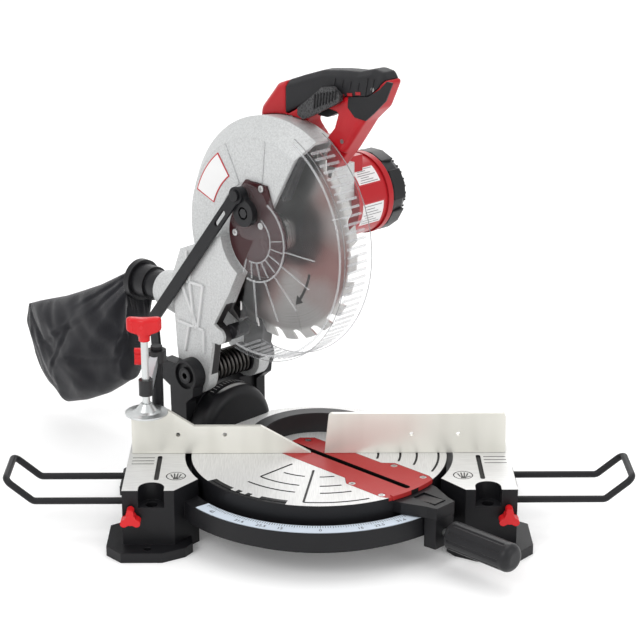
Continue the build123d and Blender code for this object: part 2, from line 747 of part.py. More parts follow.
def head_casting():
    # guard shell: a tapered left face, a straight belly and a draughted right side
    left = loft([Plane.XZ.offset(-guard_left) * around_axle(Circle(guard_face_radius)),
                 Plane.XZ.offset(-guard_belly) * around_axle(Circle(guard_radius))])
    right = loft([Plane.XZ.offset(-guard_belly) * around_axle(Circle(guard_radius)),
                  Plane.XZ.offset(-guard_right) * around_axle(Circle(guard_radius - 3))])
    keep = slab(around_axle(sector(guard_radius, guard_open_from, guard_open_to)), -80, 80)
    shell = (left + right) & keep
    # arm down to the pivot: two side plates joined by a back web
    arm = slab(arm_profile() + disc(pivot, boss_radius), *arm_left)
    arm += slab(arm_profile() + disc(pivot, boss_radius), *arm_right)
    x, z = pivot
    arm -= slab(disc(axle, 51) + disc(guard_pivot, 36), arm_left[0] - 1, guard_left)
    roller_ear = disc(roller_spot, 10) + outline((-140, 192), (-126, 195), (-124, 213), (-140, 222))
    arm += slab(roller_ear, *arm_left)
    web = outline((-200, 178), (-206, 262), (-190, 300), (-178, 300), (-192, 262), (-186, 178))
    arm += slab(web, arm_left[0], arm_right[1])
    tie = outline((-206, 262), (-190, 300), (-150, 320), (-128, 250), (-150, 226))
    arm += slab(tie, guard_right - 6, arm_right[1])
    # gearbox neck on the motor side
    box = slab(gear_plan(36, 30), guard_right - 4, gear_from - 2)
    body = shell + (arm - slab(gear_plan(40, 34), gear_from - 2, 90)) + box
    # dust chute at the rear
    flare = loft([Plane.YZ.offset(-196) * Pos(*port) * Circle(33),
                  Plane.YZ.offset(port_back) * Pos(*port) * Circle(adapter_small + 4)])
    body += flare
    # hollow of the guard, the chute and the clear space between the arm's side plates
    hollow = loft([Plane.XZ.offset(-(guard_left + guard_wall)) * around_axle(Circle(guard_face_radius - 5)),
                   Plane.XZ.offset(-guard_belly) * around_axle(Circle(guard_radius - guard_wall))])
    hollow += slab(around_axle(Circle(guard_radius - guard_wall)), guard_belly, guard_right - guard_wall)
    body -= hollow
    body -= along(Pos(*port) * Circle(adapter_small - 2), port_back - 1, -186)
    body -= along(Pos(*port) * Circle(adapter_small + run_fit), port_back - 1, port_back + 20)
    body -= cross_bore(pivot, pivot_shaft_radius + run_fit)
    body -= bevel_room()
    body -= slab(disc(axle, bearing_radius), guard_right - 6, gear_from)
    body -= slab(disc(motor_axis, motor_bearing_radius), guard_right - 6, gear_from)
    body -= slab(disc(guard_pivot, guard_bolt_radius), guard_left - 1, guard_left + guard_wall + 1)
    # window in the left wall for the blade bolt, closed by the centre cover
    body -= slab(disc(axle, 24), guard_left - 1, guard_left + guard_wall + 1)
    return body


def blade_outline():
    """Blade disc with hooked teeth, their gullets cut as notches."""
    root = blade_radius - 10
    plan = Circle(blade_radius)
    step = 360 / blade_teeth
    for k in range(blade_teeth):
        lead = 60 + step * k
        corners = ((blade_radius + 2, 0.2), (root, -3.0), (root - 1.5, 0.5), (root + 1, 3.2),
                   (blade_radius - 1.6, 6.2), (blade_radius + 2, 7.5))
        plan -= outline(*[polar((0, 0), radius, lead + angle) for radius, angle in corners])
    for k in range(4):
        slit = Rot(0, 0, 20 + 90 * k) * Pos(blade_radius - 22, 0) * Rectangle(26, 1.2)
        plan -= slit
    return plan - Circle(bore_radius)


def blade():
    body = slab(around_axle(blade_outline()), -blade_body / 2, blade_body / 2)
    tips = []
    step = 360 / blade_teeth
    for k in range(blade_teeth):
        lead = 60 + step * k
        corners = ((blade_radius, 0), (blade_radius - 8, -2.2), (blade_radius - 8, -3.6),
                   (blade_radius - 0.6, -1.6))
        tips.append(outline(*[polar((0, 0), radius, lead + angle) for radius, angle in corners]))
    for tip in tips:
        body += slab(around_axle(tip), -blade_kerf / 2, blade_kerf / 2)
    return body


def blade_flanges():
    inner = slab(around_axle(ring(bore_radius - 3, 24)), blade_body / 2, blade_body / 2 + 7)
    outer = slab(around_axle(ring(arbor_bolt_radius, 24)), -blade_body / 2 - 6, -blade_body / 2)
    outer += slab(around_axle(ring(arbor_bolt_radius, bore_radius)), -blade_body / 2, blade_body / 2)
    return Compound(children=[turned(inner), turned(outer)])


def arbor_bolt():
    shank = slab(around_axle(Circle(arbor_bolt_radius)), -blade_body / 2 - 6, 14)
    head = slab(around_axle(RegularPolygon(7.5, 6)), -blade_body / 2 - 12, -blade_body / 2 - 6)
    return shank + head


def arbor_shaft():
    body = slab(around_axle(Circle(bore_radius - 3)), blade_body / 2, 18)
    body += slab(around_axle(Circle(arbor_radius)), 18, gear_to + 14)
    return body - slab(around_axle(Circle(arbor_bolt_radius)), 0, 14)


def bearing(centre, shaft, outer):
    return slab(Pos(*centre) * ring(shaft + 2 * run_fit, outer), gear_to + 4, gear_to + 13)


def final_gear():
    wheel = spur(gear_teeth, gear_to - gear_from)
    wheel -= Cylinder(arbor_radius, 60)
    return Pos(axle[0], gear_from, axle[1]) * Rot(-90, 0, 0) * Rot(0, 0, gear_turn()) * wheel


def gear_turn():
    """Turn that points a tooth of the big gear at the pinion."""
    return -degrees(atan2(motor_axis[1] - axle[1], motor_axis[0] - axle[0]))


def armature():
    pinion = spur(pinion_teeth, gear_to - gear_from)
    toward_gear = -degrees(atan2(axle[1] - motor_axis[1], axle[0] - motor_axis[0]))
    body = Pos(motor_axis[0], gear_from, motor_axis[1]) * Rot(-90, 0, 0) * \
        Rot(0, 0, toward_gear + 180 / pinion_teeth) * pinion
    body += slab(disc(motor_axis, motor_shaft_radius), gear_from - 8, motor_to - 10)
    body += slab(disc(motor_axis, 22), motor_from + 22, motor_from + 55)
    body += slab(disc(motor_axis, 14), motor_from + 65.5, motor_from + 71)
    return body


def fan():
    blades = Circle(36) & Rectangle(72, 2)
    plan = Circle(13)
    for k in range(6):
        plan += Rot(0, 0, 30 * k) * blades
    body = slab(Pos(*motor_axis) * plan, motor_from + 6, motor_from + 16)
    body += slab(disc(motor_axis, 36), motor_from + 14.5, motor_from + 16)
    return body - slab(disc(motor_axis, motor_shaft_radius), motor_from, motor_from + 30)


def stator():
    body = slab(Pos(*motor_axis) * ring(23.5, 40), motor_from + 22, motor_from + 55)
    for side in (-1, 1):
        coil = Pos(0, side * 30) * Rectangle(26, 9.6)
        body += slab(Pos(*motor_axis) * coil, motor_from + 18, motor_from + 60)
    return body


def gear_plan(low, high):
    """Outline around the two gear centres."""
    tangents = [polar(axle, low, 138), polar(axle, low, -36), polar(motor_axis, high, -36),
                polar(motor_axis, high, 138)]
    return disc(axle, low) + disc(motor_axis, high) + outline(*tangents)


def gearbox():
    plan = gear_plan(40, 34) + outline((-66, 376), (-66, handle_foot), (-4, handle_foot), (-4, 376))
    body = slab(plan, gear_from - 2, motor_from)
    hollow = disc(axle, 35) + disc(motor_axis, 13)
    body -= slab(hollow, gear_from - 3, gear_to + 1.5)
    body -= slab(disc(axle, bearing_radius), gear_to, gear_to + 15)
    body -= slab(disc(motor_axis, motor_bearing_radius), gear_to, motor_from + 1)
    return body


def motor_housing():
    body = slab(disc(motor_axis, motor_radius), motor_from, motor_cap_from)
    body += slab(disc(motor_axis, motor_radius + 2), motor_cap_from - 8, motor_cap_from)
    # flat that carries the handle's foot
    body += slab(outline((-70, 398), (-70, 424), (-12, 424), (-12, 398)), motor_from, motor_from + 22)
    body -= slab(disc(motor_axis, 40), motor_from + 3, motor_cap_from + 1)
    body -= slab(disc(motor_axis, motor_bearing_radius), motor_from - 1, motor_from + 10)
    return body


def motor_cap():
    body = loft([Plane.XZ.offset(-motor_cap_from) * disc(motor_axis, motor_radius + 1),
                 Plane.XZ.offset(-(motor_to - 12)) * disc(motor_axis, motor_radius - 2),
                 Plane.XZ.offset(-motor_to) * disc(motor_axis, motor_radius - 9)], ruled=True)
    body -= slab(disc(motor_axis, 38), motor_cap_from - 1, motor_to - 5)
    for k in range(12):
        slot = Pos(*polar(motor_axis, 24, 15 + 30 * k)) * Rot(0, 0, 15 + 30 * k) * SlotOverall(18, 4)
        body -= slab(slot, motor_to - 6, motor_to + 1)
    body += slab(disc(motor_axis, 12), motor_to - 16, motor_to - 3)
    body -= slab(disc(motor_axis, 8), motor_to - 17, motor_to - 9)
    for angle in (15, 195):
        body -= Pos(motor_axis[0], 132, motor_axis[1]) * Rot(0, -angle, 0) * Pos(46, 0, 0) * \
            Rot(0, 90, 0) * Cylinder(6, 30)
    return body


def brush_caps():
    caps = []
    for angle in (15, 195):
        cap = Cylinder(6 - 0.2, 8) - Pos(0, 0, 4) * Box(8, 1.4, 2)
        caps.append(turned(Pos(motor_axis[0], 132, motor_axis[1]) * Rot(0, -angle, 0)
                           * Pos(motor_radius - 4.5, 0, 0) * Rot(0, 90, 0) * cap))
    return Compound(children=caps)


def centre_cover():
    plan = around_axle(Circle(47)) + disc(guard_pivot, 30)
    plan += outline((-112, 372), (-86, 402), (-52, 400), (-40, 372), (-60, 330), (-104, 330))
    body = slab(plan, guard_left - 3, guard_left - slack)
    body -= slab(disc(guard_pivot, guard_bolt_radius), guard_left - 5, guard_left)
    for spot in cover_spots:
        body -= slab(disc(spot, cover_screw_radius), guard_left - 5, guard_left)
    return body


def cover_screws():
    screws = []
    for spot in cover_spots:
        head = slab(disc(spot, 4) - Pos(*spot) * Rectangle(5, 1) - Pos(*spot) * Rectangle(1, 5),
                    guard_left - 5, guard_left - 3)
        shank = slab(disc(spot, cover_screw_radius), guard_left - 3.8, guard_left - 0.2)
        screws.append(turned(head + shank))
    return Compound(children=screws)


def guard_bolt():
    """Shouldered bolt that the clear guard turns on."""
    shank = slab(disc(guard_pivot, guard_bolt_radius), link_right + 4.6, guard_left + guard_wall)
    head = slab(Pos(*guard_pivot) * RegularPolygon(6, 6), link_right + 0.6, link_right + 4.6)
    return shank + head


def crank_pin_spot():
    return polar(guard_pivot, crank_radius, crank_angle)


def lower_guard():
    span = sector(clear_radius, clear_from, clear_to)
    rim = around_axle(ring(clear_radius - clear_wall, clear_radius) & span)
    body = slab(rim, clear_left, clear_right)
    face = around_axle(ring(clear_hub_radius, clear_radius) & span)
    body += slab(face, clear_left, clear_left + clear_wall)
    hub = disc(guard_pivot, 33) + around_axle(Circle(clear_hub_radius + 1) & sector(50, -118, 100))
    body += slab(hub, clear_left, clear_left + clear_wall)
    lip_span = sector(clear_radius, clear_to - 1.6, clear_to)
    lip = around_axle(ring(clear_radius - 6, clear_radius + 7) & lip_span)
    body += slab(lip, clear_left, clear_right)
    heel_span = sector(clear_radius, clear_from, clear_from + 1.6)
    heel = around_axle(ring(clear_radius - 9, clear_radius) & heel_span)
    body += slab(heel, clear_left, clear_right)
    for angle in range(int(clear_from) + 14, int(clear_to) - 10, 24):
        rib = Rot(0, 0, angle) * Pos(74, 0) * Rectangle(44, 2)
        body += slab(around_axle(rib), clear_left - 1.4, clear_left + 0.5)
    body -= slab(disc(guard_pivot, guard_bolt_radius + run_fit), clear_left - 5, clear_left + 8)
    return body


def guard_crank():
    """Dark hub plate fixed to the clear guard, with the ear that the link pulls."""
    ear = crank_pin_spot()
    plan = disc(guard_pivot, 16) + disc(ear, 9)
    a = crank_angle
    plan += outline(polar(guard_pivot, 12, a + 90), polar(guard_pivot, 12, a - 90), polar(ear, 8, a - 90),
                    polar(ear, 8, a + 90))
    body = slab(plan, link_right + slack, clear_left)
    body -= slab(disc(guard_pivot, guard_bolt_radius + run_fit), link_left - 5, clear_left + 8)
    body -= slab(disc(guard_pivot, 7.5), link_left - 5, link_right + 4.9)
    body += slab(disc(ear, link_pin_radius), link_left - 1, link_right + slack + 1)
    return body + slab(disc(ear, 6.5), link_left - 3, link_left - slack)


def guard_link():
    top = crank_pin_spot()
    bend = (-237.0, 202.0)
    low = link_anchor
    half = link_width / 2
    bars = disc(top, 10) + disc(bend, half)
    for a, b in ((top, bend), (bend, low)):
        angle = degrees(atan2(b[1] - a[1], b[0] - a[0]))
        bars += outline(polar(a, half, angle + 90), polar(a, half, angle - 90), polar(b, half, angle - 90),
                        polar(b, half, angle + 90))
    bars += disc(low, half + 5)
    body = slab(bars, link_left, link_right)
    along_link = degrees(atan2(bend[1] - top[1], bend[0] - top[0]))
    slot = Pos(*polar(top, 42, along_link)) * Rot(0, 0, along_link) * SlotOverall(26, 6)
    body -= slab(slot, link_left - 1, link_right + 1)
    body -= slab(disc(top, link_pin_radius + run_fit), link_left - 1, link_right + 1)
    body -= slab(disc(low, link_pin_radius + link_play), link_left - 1, link_right + 1)
    return body


def stop_roller():
    body = slab(disc(roller_spot, 8.5), arm_left[1], -12)
    socket = Pos(*roller_spot) * RegularPolygon(3.5, 6)
    return body - slab(socket, -16, -11)


# ---------------------------------------------------------------- handle
def handle_outline():
    return outline((-118, 452), (-112, 476), (-86, 506), (-76, 510), (-46, 521), (-16, 531), (13, 535),
                   (40, 537), (62, 543), (76, 541), (84, 530), (70, 500), (51, 483), (24, 446),
                   (2, handle_foot), (-62, handle_foot), (-64, 452))


def handle_hole():
    return outline((-44, 466), (-40, 480), (-8, 490), (14, 488), (8, 470), (-4, 456), (-30, 452))


def handle_body():
    body = slab(handle_outline() - handle_hole(), handle_left, handle_right)
    body = chamfer(body.faces().sort_by(Axis.Y)[0].outer_wire().edges()
                   + body.faces().sort_by(Axis.Y)[-1].outer_wire().edges(), 5)
    grip_seat = outline((-74, 470), (-70, 560), (100, 560), (74, 524), (58, 512), (30, 508), (-20, 500))
    body -= slab(grip_seat & outline((-70, 400), (-70, 600), (120, 600), (120, 400)), 0, 100)
    clear = around_axle(Circle(guard_radius - 1.9))
    body -= slab(clear, handle_left - 1, guard_right + slack)
    body -= slab(disc(lever_pin, 3 + run_fit), 0, handle_left + 6)
    return body - trigger_pocket()


def handle_grip():
    body = slab(handle_outline() - handle_hole(), handle_left, handle_right)
    body = chamfer(body.faces().sort_by(Axis.Y)[0].outer_wire().edges()
                   + body.faces().sort_by(Axis.Y)[-1].outer_wire().edges(), 7)
    grip_seat = outline((-70, 474), (-70, 560), (100, 560), (74, 524), (58, 512), (30, 508), (-20, 500))
    body = body & slab(grip_seat, 0, 100)
    return body - trigger_pocket()


def trigger_pocket():
    """Slot in the grip that the trigger swings in, with the bore for its pin."""
    room = outline((-38, 470), (-38, 512), (12, 522), (12, 470))
    return slab(room, 25.5, 38.5) + slab(disc(trigger_pin, 2 + run_fit), 21, 43)


def trigger():
    plan = outline((-34, 482), (-35, 502), (-30, 507), (4, 508), (7, 496), (0, 483), (-12, 477), (-26, 477))
    return slab(plan, 26, 38) + slab(disc(trigger_pin, 2), 22, 42)


def guard_lever():
    plan = outline((-42, 478), (-34, 474), (-28, 476), (18, 499), (24, 504), (24, 510), (12, 518), (-4, 515),
                   (-20, 502), (-42, 486))
    body = slab(plan, 7.5, 13.5)
    body += slab(disc(lever_pin, 5), 7.5, handle_left - slack)
    return body + slab(disc(lever_pin, 3), 7.5, handle_left + 5)


# ---------------------------------------------------------------- dust outlet
def dust_adapter():
    tube = along(Pos(*port) * Circle(adapter_small), port_back - 24, port_back + 19)
    tube += along(Pos(*port) * Circle(adapter_large), adapter_back, port_back - 22)
    return tube - along(Pos(*port) * Circle(adapter_small - 2.4), adapter_back - 1, port_back + 21)


def bag_collar():
    ring_plan = Circle(collar_radius) - Circle(adapter_large)
    return along(Pos(*port) * ring_plan, adapter_back, adapter_back + 9)


def dust_bag():
    sections = [Plane.YZ.offset(adapter_back - 0.3) * Pos(*port) * Circle(adapter_large + 1)]
    for back, across, top, bottom, half in ((-332, -8, 240, 96, 24), (-385, -12, 212, 62, 31),
                                            (-445, -17, 182, 28, 33), (-492, -21, 164, 72, 25),
                                            (-522, -24, 150, 116, 9)):
        plane = Plane.YZ.offset(back)
        sections.append(plane * Pos(across, (top + bottom) / 2) * Ellipse(half, (top - bottom) / 2))
    return loft(sections)


# ---------------------------------------------------------------- assembly
def build_nodes():
    wing, knob = right_wing(), right_wing_knob()
    fixed = {
        "base_casting": base_casting(), "fence": fence(), "fence_bolts": fence_bolts(),
        "mitre_scale": mitre_scale(), "mitre_pivot_bolt": mitre_bolt(),
        "wing_right": wing, "wing_left": mirror(wing, about=Plane.YZ),
        "wing_knob_right": knob, "wing_knob_left": mirror(knob, about=Plane.YZ),
        "clamp_post": clamp_post(), "clamp_arm": clamp_arm(), "clamp_spindle": clamp_spindle(),
        "clamp_knob": clamp_knob(), "clamp_pad": clamp_pad(), "clamp_side_knob": clamp_side_knob(),
    }
    swung = {
        "turntable": turntable(), "kerf_insert": kerf_insert(), "detent_lever": detent_lever(),
        "lock_handle": lock_handle(), "lock_shank": lock_shank(),
        "bevel_bracket": bevel_bracket(), "link_pin": link_pin(), "pivot_shaft": pivot_shaft(),
        "return_spring": return_spring(), "spring_spool": spring_spool(),
        "bevel_bolt": bevel_bolt(), "bevel_lever": bevel_lever(), "bevel_scale": bevel_scale(),
        "head_casting": head_casting(), "centre_cover": centre_cover(), "guard_bolt": guard_bolt(),
        "lower_guard": lower_guard(), "guard_crank": guard_crank(), "guard_link": guard_link(),
        "stop_roller": stop_roller(), "blade": blade(), "arbor_bolt": arbor_bolt(),
        "arbor_shaft": arbor_shaft(), "final_gear": final_gear(), "armature": armature(), "fan": fan(),
        "stator": stator(), "gearbox": gearbox(), "motor_housing": motor_housing(),
        "motor_cap": motor_cap(), "handle_body": handle_body(), "handle_grip": handle_grip(),
        "trigger": trigger(), "guard_lever": guard_lever(), "dust_adapter": dust_adapter(),
        "bag_collar": bag_collar(), "dust_bag": dust_bag(),
        "arbor_bearing": bearing(axle, arbor_radius, bearing_radius),
        "motor_bearing": bearing(motor_axis, motor_shaft_radius, motor_bearing_radius),
    }
    nodes = dict(fixed)
    nodes.update({name: turned(part) for name, part in swung.items()})
    nodes["insert_screws"] = insert_screws()
    nodes["blade_flanges"] = blade_flanges()
    nodes["brush_caps"] = brush_caps()
    nodes["cover_screws"] = cover_screws()
    return nodes


os.makedirs("parts", exist_ok=True)
for node_name, node_part in build_nodes().items():
    export_step(node_part, f"parts/{node_name}.step")
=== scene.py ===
import math

import bmesh
import bpy
from mathutils import Matrix, Vector, noise


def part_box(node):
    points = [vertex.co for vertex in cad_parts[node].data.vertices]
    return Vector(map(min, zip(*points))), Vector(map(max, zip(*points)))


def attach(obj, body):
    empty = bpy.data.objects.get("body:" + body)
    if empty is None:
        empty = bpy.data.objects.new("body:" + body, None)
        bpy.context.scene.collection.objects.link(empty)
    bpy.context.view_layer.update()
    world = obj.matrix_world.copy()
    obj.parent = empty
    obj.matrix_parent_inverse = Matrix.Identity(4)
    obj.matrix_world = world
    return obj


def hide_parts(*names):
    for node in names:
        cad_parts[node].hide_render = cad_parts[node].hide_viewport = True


bl_info = {
    "name": "Mitre Saw",
    "version": (1, 0, 0),
    "blender": (4, 5, 0),
    "location": "View3D > Sidebar > Mitre Saw",
    "description": "Builds the finishes and small pieces of a mitre saw on its packed frame",
    "category": "Object",
}

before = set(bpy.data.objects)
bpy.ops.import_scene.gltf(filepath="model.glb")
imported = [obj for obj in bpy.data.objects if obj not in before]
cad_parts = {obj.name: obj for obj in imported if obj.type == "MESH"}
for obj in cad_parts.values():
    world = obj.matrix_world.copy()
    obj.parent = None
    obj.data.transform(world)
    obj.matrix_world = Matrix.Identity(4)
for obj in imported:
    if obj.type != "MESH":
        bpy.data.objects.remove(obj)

HALF_ROOT = math.sqrt(0.5)
TURN = Matrix.Rotation(math.radians(-45), 4, "Z")   # the head's own axes, turned to the stored angle

# places in the head's side drawing, as forward and up, and its sizes
AXLE = (-0.0675, 0.336)
MOTOR_AXIS = (-0.04221, 0.36779)
MOTOR_RADIUS = 0.047
HANDLE_SIDE = 0.016       # left face of the handle, across the blade
COVER_SIDE = -0.030       # left face of the upper guard
GUARD_SIDE = -0.0400      # left face of the clear guard
GUARD_SWEEP = (-103.5, 62.5)
TOP_HEIGHT = 0.078        # machined face of the table and the blocks
SINK = 0.0002             # how far a stuck-on shape reaches into its carrier

# valleys in the bag's side: from a point, back and up, to a point, and how deep
CREASES = (((-0.313, 0.244), (-0.387, 0.172), 0.0030), ((-0.387, 0.172), (-0.492, 0.107), 0.0026),
           ((-0.286, 0.173), (-0.384, 0.131), 0.0030), ((-0.384, 0.131), (-0.455, 0.091), 0.0024),
           ((-0.328, 0.235), (-0.422, 0.172), 0.0024), ((-0.420, 0.165), (-0.470, 0.060), 0.0022),
           ((-0.300, 0.205), (-0.352, 0.100), 0.0026))


# ------------------------------------------------------------------ settings
class MitreSawSettings(bpy.types.PropertyGroup):
    """Colours and sizes that a user would change."""

    red: bpy.props.FloatVectorProperty(
        name="Red", description="Moulded red plastic",
        subtype="COLOR", size=3, min=0, max=1, default=(0.42, 0.006, 0.012))
    black: bpy.props.FloatVectorProperty(
        name="Black", description="Black paint and plastic",
        subtype="COLOR", size=3, min=0, max=1, default=(0.0085, 0.0085, 0.0100))
    silver: bpy.props.FloatVectorProperty(
        name="Silver", description="Silver paint of the head casting",
        subtype="COLOR", size=3, min=0, max=1, default=(0.53, 0.54, 0.54))
    cloth: bpy.props.FloatVectorProperty(
        name="Cloth", description="Dust bag cloth",
        subtype="COLOR", size=3, min=0, max=1, default=(0.0050, 0.0050, 0.0072))
    weave: bpy.props.FloatProperty(
        name="Weave", description="Pitch of the bag cloth's threads",
        default=0.0011, min=0.0003, max=0.01, unit="LENGTH")
    rib_angle: bpy.props.FloatProperty(
        name="Rib pitch", description="Angle between ribs of the clear guard",
        default=math.radians(3.6), min=0.01, max=0.5, subtype="ANGLE")
    tick_angle: bpy.props.FloatProperty(
        name="Tick pitch", description="Angle between marks of the mitre scale",
        default=math.radians(1), min=0.005, max=0.3, subtype="ANGLE")


# ------------------------------------------------------------------ shader kit
class Wire:
    """A shader socket that can be used in Python arithmetic."""

    def __init__(self, shader, socket):
        self.shader, self.socket = shader, socket

    def _maths(self, operation, *values):
        return self.shader.node("ShaderNodeMath", {"operation": operation}, dict(enumerate(values)))

    def __add__(self, other):
        return self._maths("ADD", self, other)

    def __radd__(self, other):
        return self._maths("ADD", other, self)

    def __sub__(self, other):
        return self._maths("SUBTRACT", self, other)

    def __rsub__(self, other):
        return self._maths("SUBTRACT", other, self)

    def __mul__(self, other):
        return self._maths("MULTIPLY", self, other)

    def __pow__(self, other):
        return self._maths("POWER", self, other)

    def __gt__(self, other):
        return self._maths("GREATER_THAN", self, other)

    def __lt__(self, other):
        return self._maths("LESS_THAN", self, other)

    def sine(self):
        return self._maths("SINE", self)

    def absolute(self):
        return self._maths("ABSOLUTE", self)


class Shader:
    """One material, with short ways to add its nodes."""

    def __init__(self, name, **constants):
        self.material = bpy.data.materials.new(name)
        self.material.use_nodes = True
        self.nodes = self.material.node_tree.nodes
        self.links = self.material.node_tree.links
        self.nodes.clear()
        self.surface = self.nodes.new("ShaderNodeBsdfPrincipled")
        self.out = self.nodes.new("ShaderNodeOutputMaterial")
        self.links.new(self.surface.outputs[0], self.out.inputs["Surface"])
        for key, value in constants.items():
            self.surface.inputs[key.replace("_", " ")].default_value = value
        self.place = self.node("ShaderNodeTexCoord", {}, {}, out="Object")

    def node(self, kind, settings, values, out=0):
        """Adds a node: its settings first, then its sockets' values or links."""
        made = self.nodes.new(kind)
        for key, value in settings.items():
            if key == "stops":
                ramp = made.color_ramp
                while len(ramp.elements) < len(value):
                    ramp.elements.new(0.5)
                for element, (position, colour) in zip(ramp.elements, value):
                    element.position = position
                    element.color = (*colour, 1) if hasattr(colour, "__len__") else (colour,) * 3 + (1,)
            else:
                setattr(made, key, value)
        for key, value in values.items():
            socket = made.inputs[key]
            if isinstance(value, Wire):
                self.links.new(value.socket, socket)
            elif value is not None:
                if socket.type == "RGBA" and len(value) == 3:
                    value = (*value, 1)
                socket.default_value = value
        return Wire(self, made.outputs[out])

    def noise(self, scale, detail=3.0, rough=0.5):
        """Soft cloudy noise on the piece's own coordinates."""
        return self.node("ShaderNodeTexNoise", {},
                         {"Vector": self.place, "Scale": scale, "Detail": detail, "Roughness": rough})

    def streaks(self, scale, detail=3.0):
        """Noise drawn out along the axis with the smallest scale."""
        stretched = self.node("ShaderNodeMapping", {}, {"Vector": self.place, "Scale": scale})
        return self.node("ShaderNodeTexNoise", {}, {"Vector": stretched, "Scale": 1.0, "Detail": detail})

    def split(self, vector):
        """The three parts of a vector."""
        made = self.nodes.new("ShaderNodeSeparateXYZ")
        self.links.new(vector.socket, made.inputs[0])
        return [Wire(self, made.outputs[i]) for i in range(3)]

    def head_axes(self):
        """How far a point is forward, across and up, along the kerf's own axes."""
        x, y, z = self.split(self.place)
        return (x - y) * HALF_ROOT, (x + y) * HALF_ROOT, z

    def facing_up(self):
        """1 on faces that look straight up."""
        normal = self.node("ShaderNodeNewGeometry", {}, {}, out="Normal")
        return self.step(self.split(normal)[2], 0.90, 0.97)

    def mix(self, share, first, second):
        """A colour between two, by a share from 0 to 1."""
        return self.node("ShaderNodeMix", {"data_type": "RGBA"}, {0: share, 6: first, 7: second}, out=2)

    def step(self, value, low, high):
        """0 under low, 1 over high."""
        return self.node("ShaderNodeMapRange", {"interpolation_type": "SMOOTHSTEP"},
                         {0: value, 1: low, 2: high})

    def feed(self, key, value):
        """Links a value to one of the surface's sockets."""
        self.links.new(value.socket, self.surface.inputs[key])

    def bump(self, height, strength, distance, soft=0.0):
        """Bumps the surface by a height, over edges that look softened."""
        base = None
        if soft:
            base = self.node("ShaderNodeBevel", {"samples": 4}, {"Radius": soft})
        self.feed("Normal", self.node("ShaderNodeBump", {},
                                      {"Strength": strength, "Distance": distance, "Height": height,
                                       "Normal": base}))


# ------------------------------------------------------------------ materials
WORN_BLACK = (0.045, 0.045, 0.047)
MACHINED = ((0.66, 0.66, 0.65), (0.76, 0.76, 0.75))   # dark and light cutter marks


def tinted(colour, share):
    """A colour made darker or lighter."""
    return tuple(min(1, part * share) for part in colour)


def black_casting(settings):
    """Satin black paint with a fine orange peel, rubbed grey at random on its wear spots."""
    s = Shader("black_casting", Specular_IOR_Level=0.26)
    peel = s.noise(900, 2)
    wear = s.step(s.noise(38, 5, 0.6), 0.70, 0.82)
    s.feed("Base Color", s.mix(wear * 0.25, tinted(settings.black, 1.15), WORN_BLACK))
    s.feed("Roughness", 0.36 + s.noise(22, 3) * 0.16)
    s.bump(peel, 0.12, 0.0006, soft=0.0012)
    return s.material


def base_finish(settings):
    """Black painted casting whose top was machined bright, with the cutter's marks left in it."""
    s = Shader("base_casting", Specular_IOR_Level=0.26)
    height = s.split(s.place)[2]
    top = s.step(height, TOP_HEIGHT - 0.0006, TOP_HEIGHT - 0.0002) * s.facing_up()
    lines = s.streaks((60, 1400, 60))
    bright = s.mix(s.step(lines, 0.3, 0.7), *MACHINED)
    dark = s.mix(s.step(s.noise(38, 5, 0.6), 0.68, 0.8) * 0.25, tuple(settings.black), WORN_BLACK)
    s.feed("Base Color", s.mix(top, dark, bright))
    s.feed("Metallic", top * 0.35)
    s.feed("Roughness", 0.38 + s.noise(9, 3) * 0.1)
    s.bump(lines * top + s.noise(900, 2) * (1 - top), 0.10, 0.0005, soft=0.0010)
    return s.material


def fence_finish(settings):
    """Milled aluminium face on a black cast fence: bright in front, black bow and feet."""
    s = Shader("fence_finish")
    x, y, z = s.split(s.place)
    front = (1 - s.step(y, 0.0058, 0.0064)) * (1 - s.step(x.absolute(), 0.2225, 0.2235))
    lines = s.streaks((9, 60, 900), 4.0)
    broad = s.streaks((26, 1, 4), 2.0)
    bright = s.mix(s.step(broad, 0.35, 0.65), (0.74, 0.73, 0.67), (0.82, 0.81, 0.75))
    s.feed("Base Color", s.mix(front, tuple(settings.black), bright))
    s.feed("Metallic", front * 0.35)
    s.feed("Roughness", 0.40 - front * 0.12 + lines * 0.1)
    s.bump(lines, 0.08, 0.0004, soft=0.0008)
    return s.material


def silver_casting(settings):
    """Silver painted die casting: fine grain, faint speckle and cloudy gloss, with painted shade: the shaded
    pocket between the arm and the guard is coloured near-black.
    """
    s = Shader("silver_casting", Specular_IOR_Level=0.5)
    grain = s.noise(1400, 2, 0.7)
    speckle = s.noise(420, 4, 0.8)
    forward, across, up = s.head_axes()
    # painted shade: the pocket between the arm and the guard, which lies in shadow, is coloured near-black and
    # not metallic
    painted_shade_pocket = (forward > -0.170) * (forward < -0.090) * (up > 0.150) * (up < 0.246) * (across > -0.0395)
    paint = s.mix(s.step(speckle, 0.3, 0.7), tinted(settings.silver, 0.86), tinted(settings.silver, 1.18))
    s.feed("Base Color", s.mix(painted_shade_pocket, paint, (0.018, 0.016, 0.017)))
    s.feed("Roughness", 0.36 + s.noise(14, 3) * 0.14)
    s.feed("Metallic", (0.22 + speckle * 0.15) * (1 - painted_shade_pocket))
    s.bump(grain + speckle, 0.10, 0.0006, soft=0.0016)
    return s.material


def moulded(name, colour, roughness, grain=700, strength=0.12, gloss=0.32):
    """Moulded plastic with a spark-eroded grain and slight shade changes."""
    s = Shader(name, Specular_IOR_Level=gloss)
    s.feed("Base Color", s.mix(s.noise(16, 3), tinted(colour, 0.88), tinted(colour, 1.12)))
    s.feed("Roughness", roughness - 0.05 + s.noise(30, 3) * 0.1)
    s.bump(s.noise(grain, 2), strength, 0.0005, soft=0.0012)
    return s.material


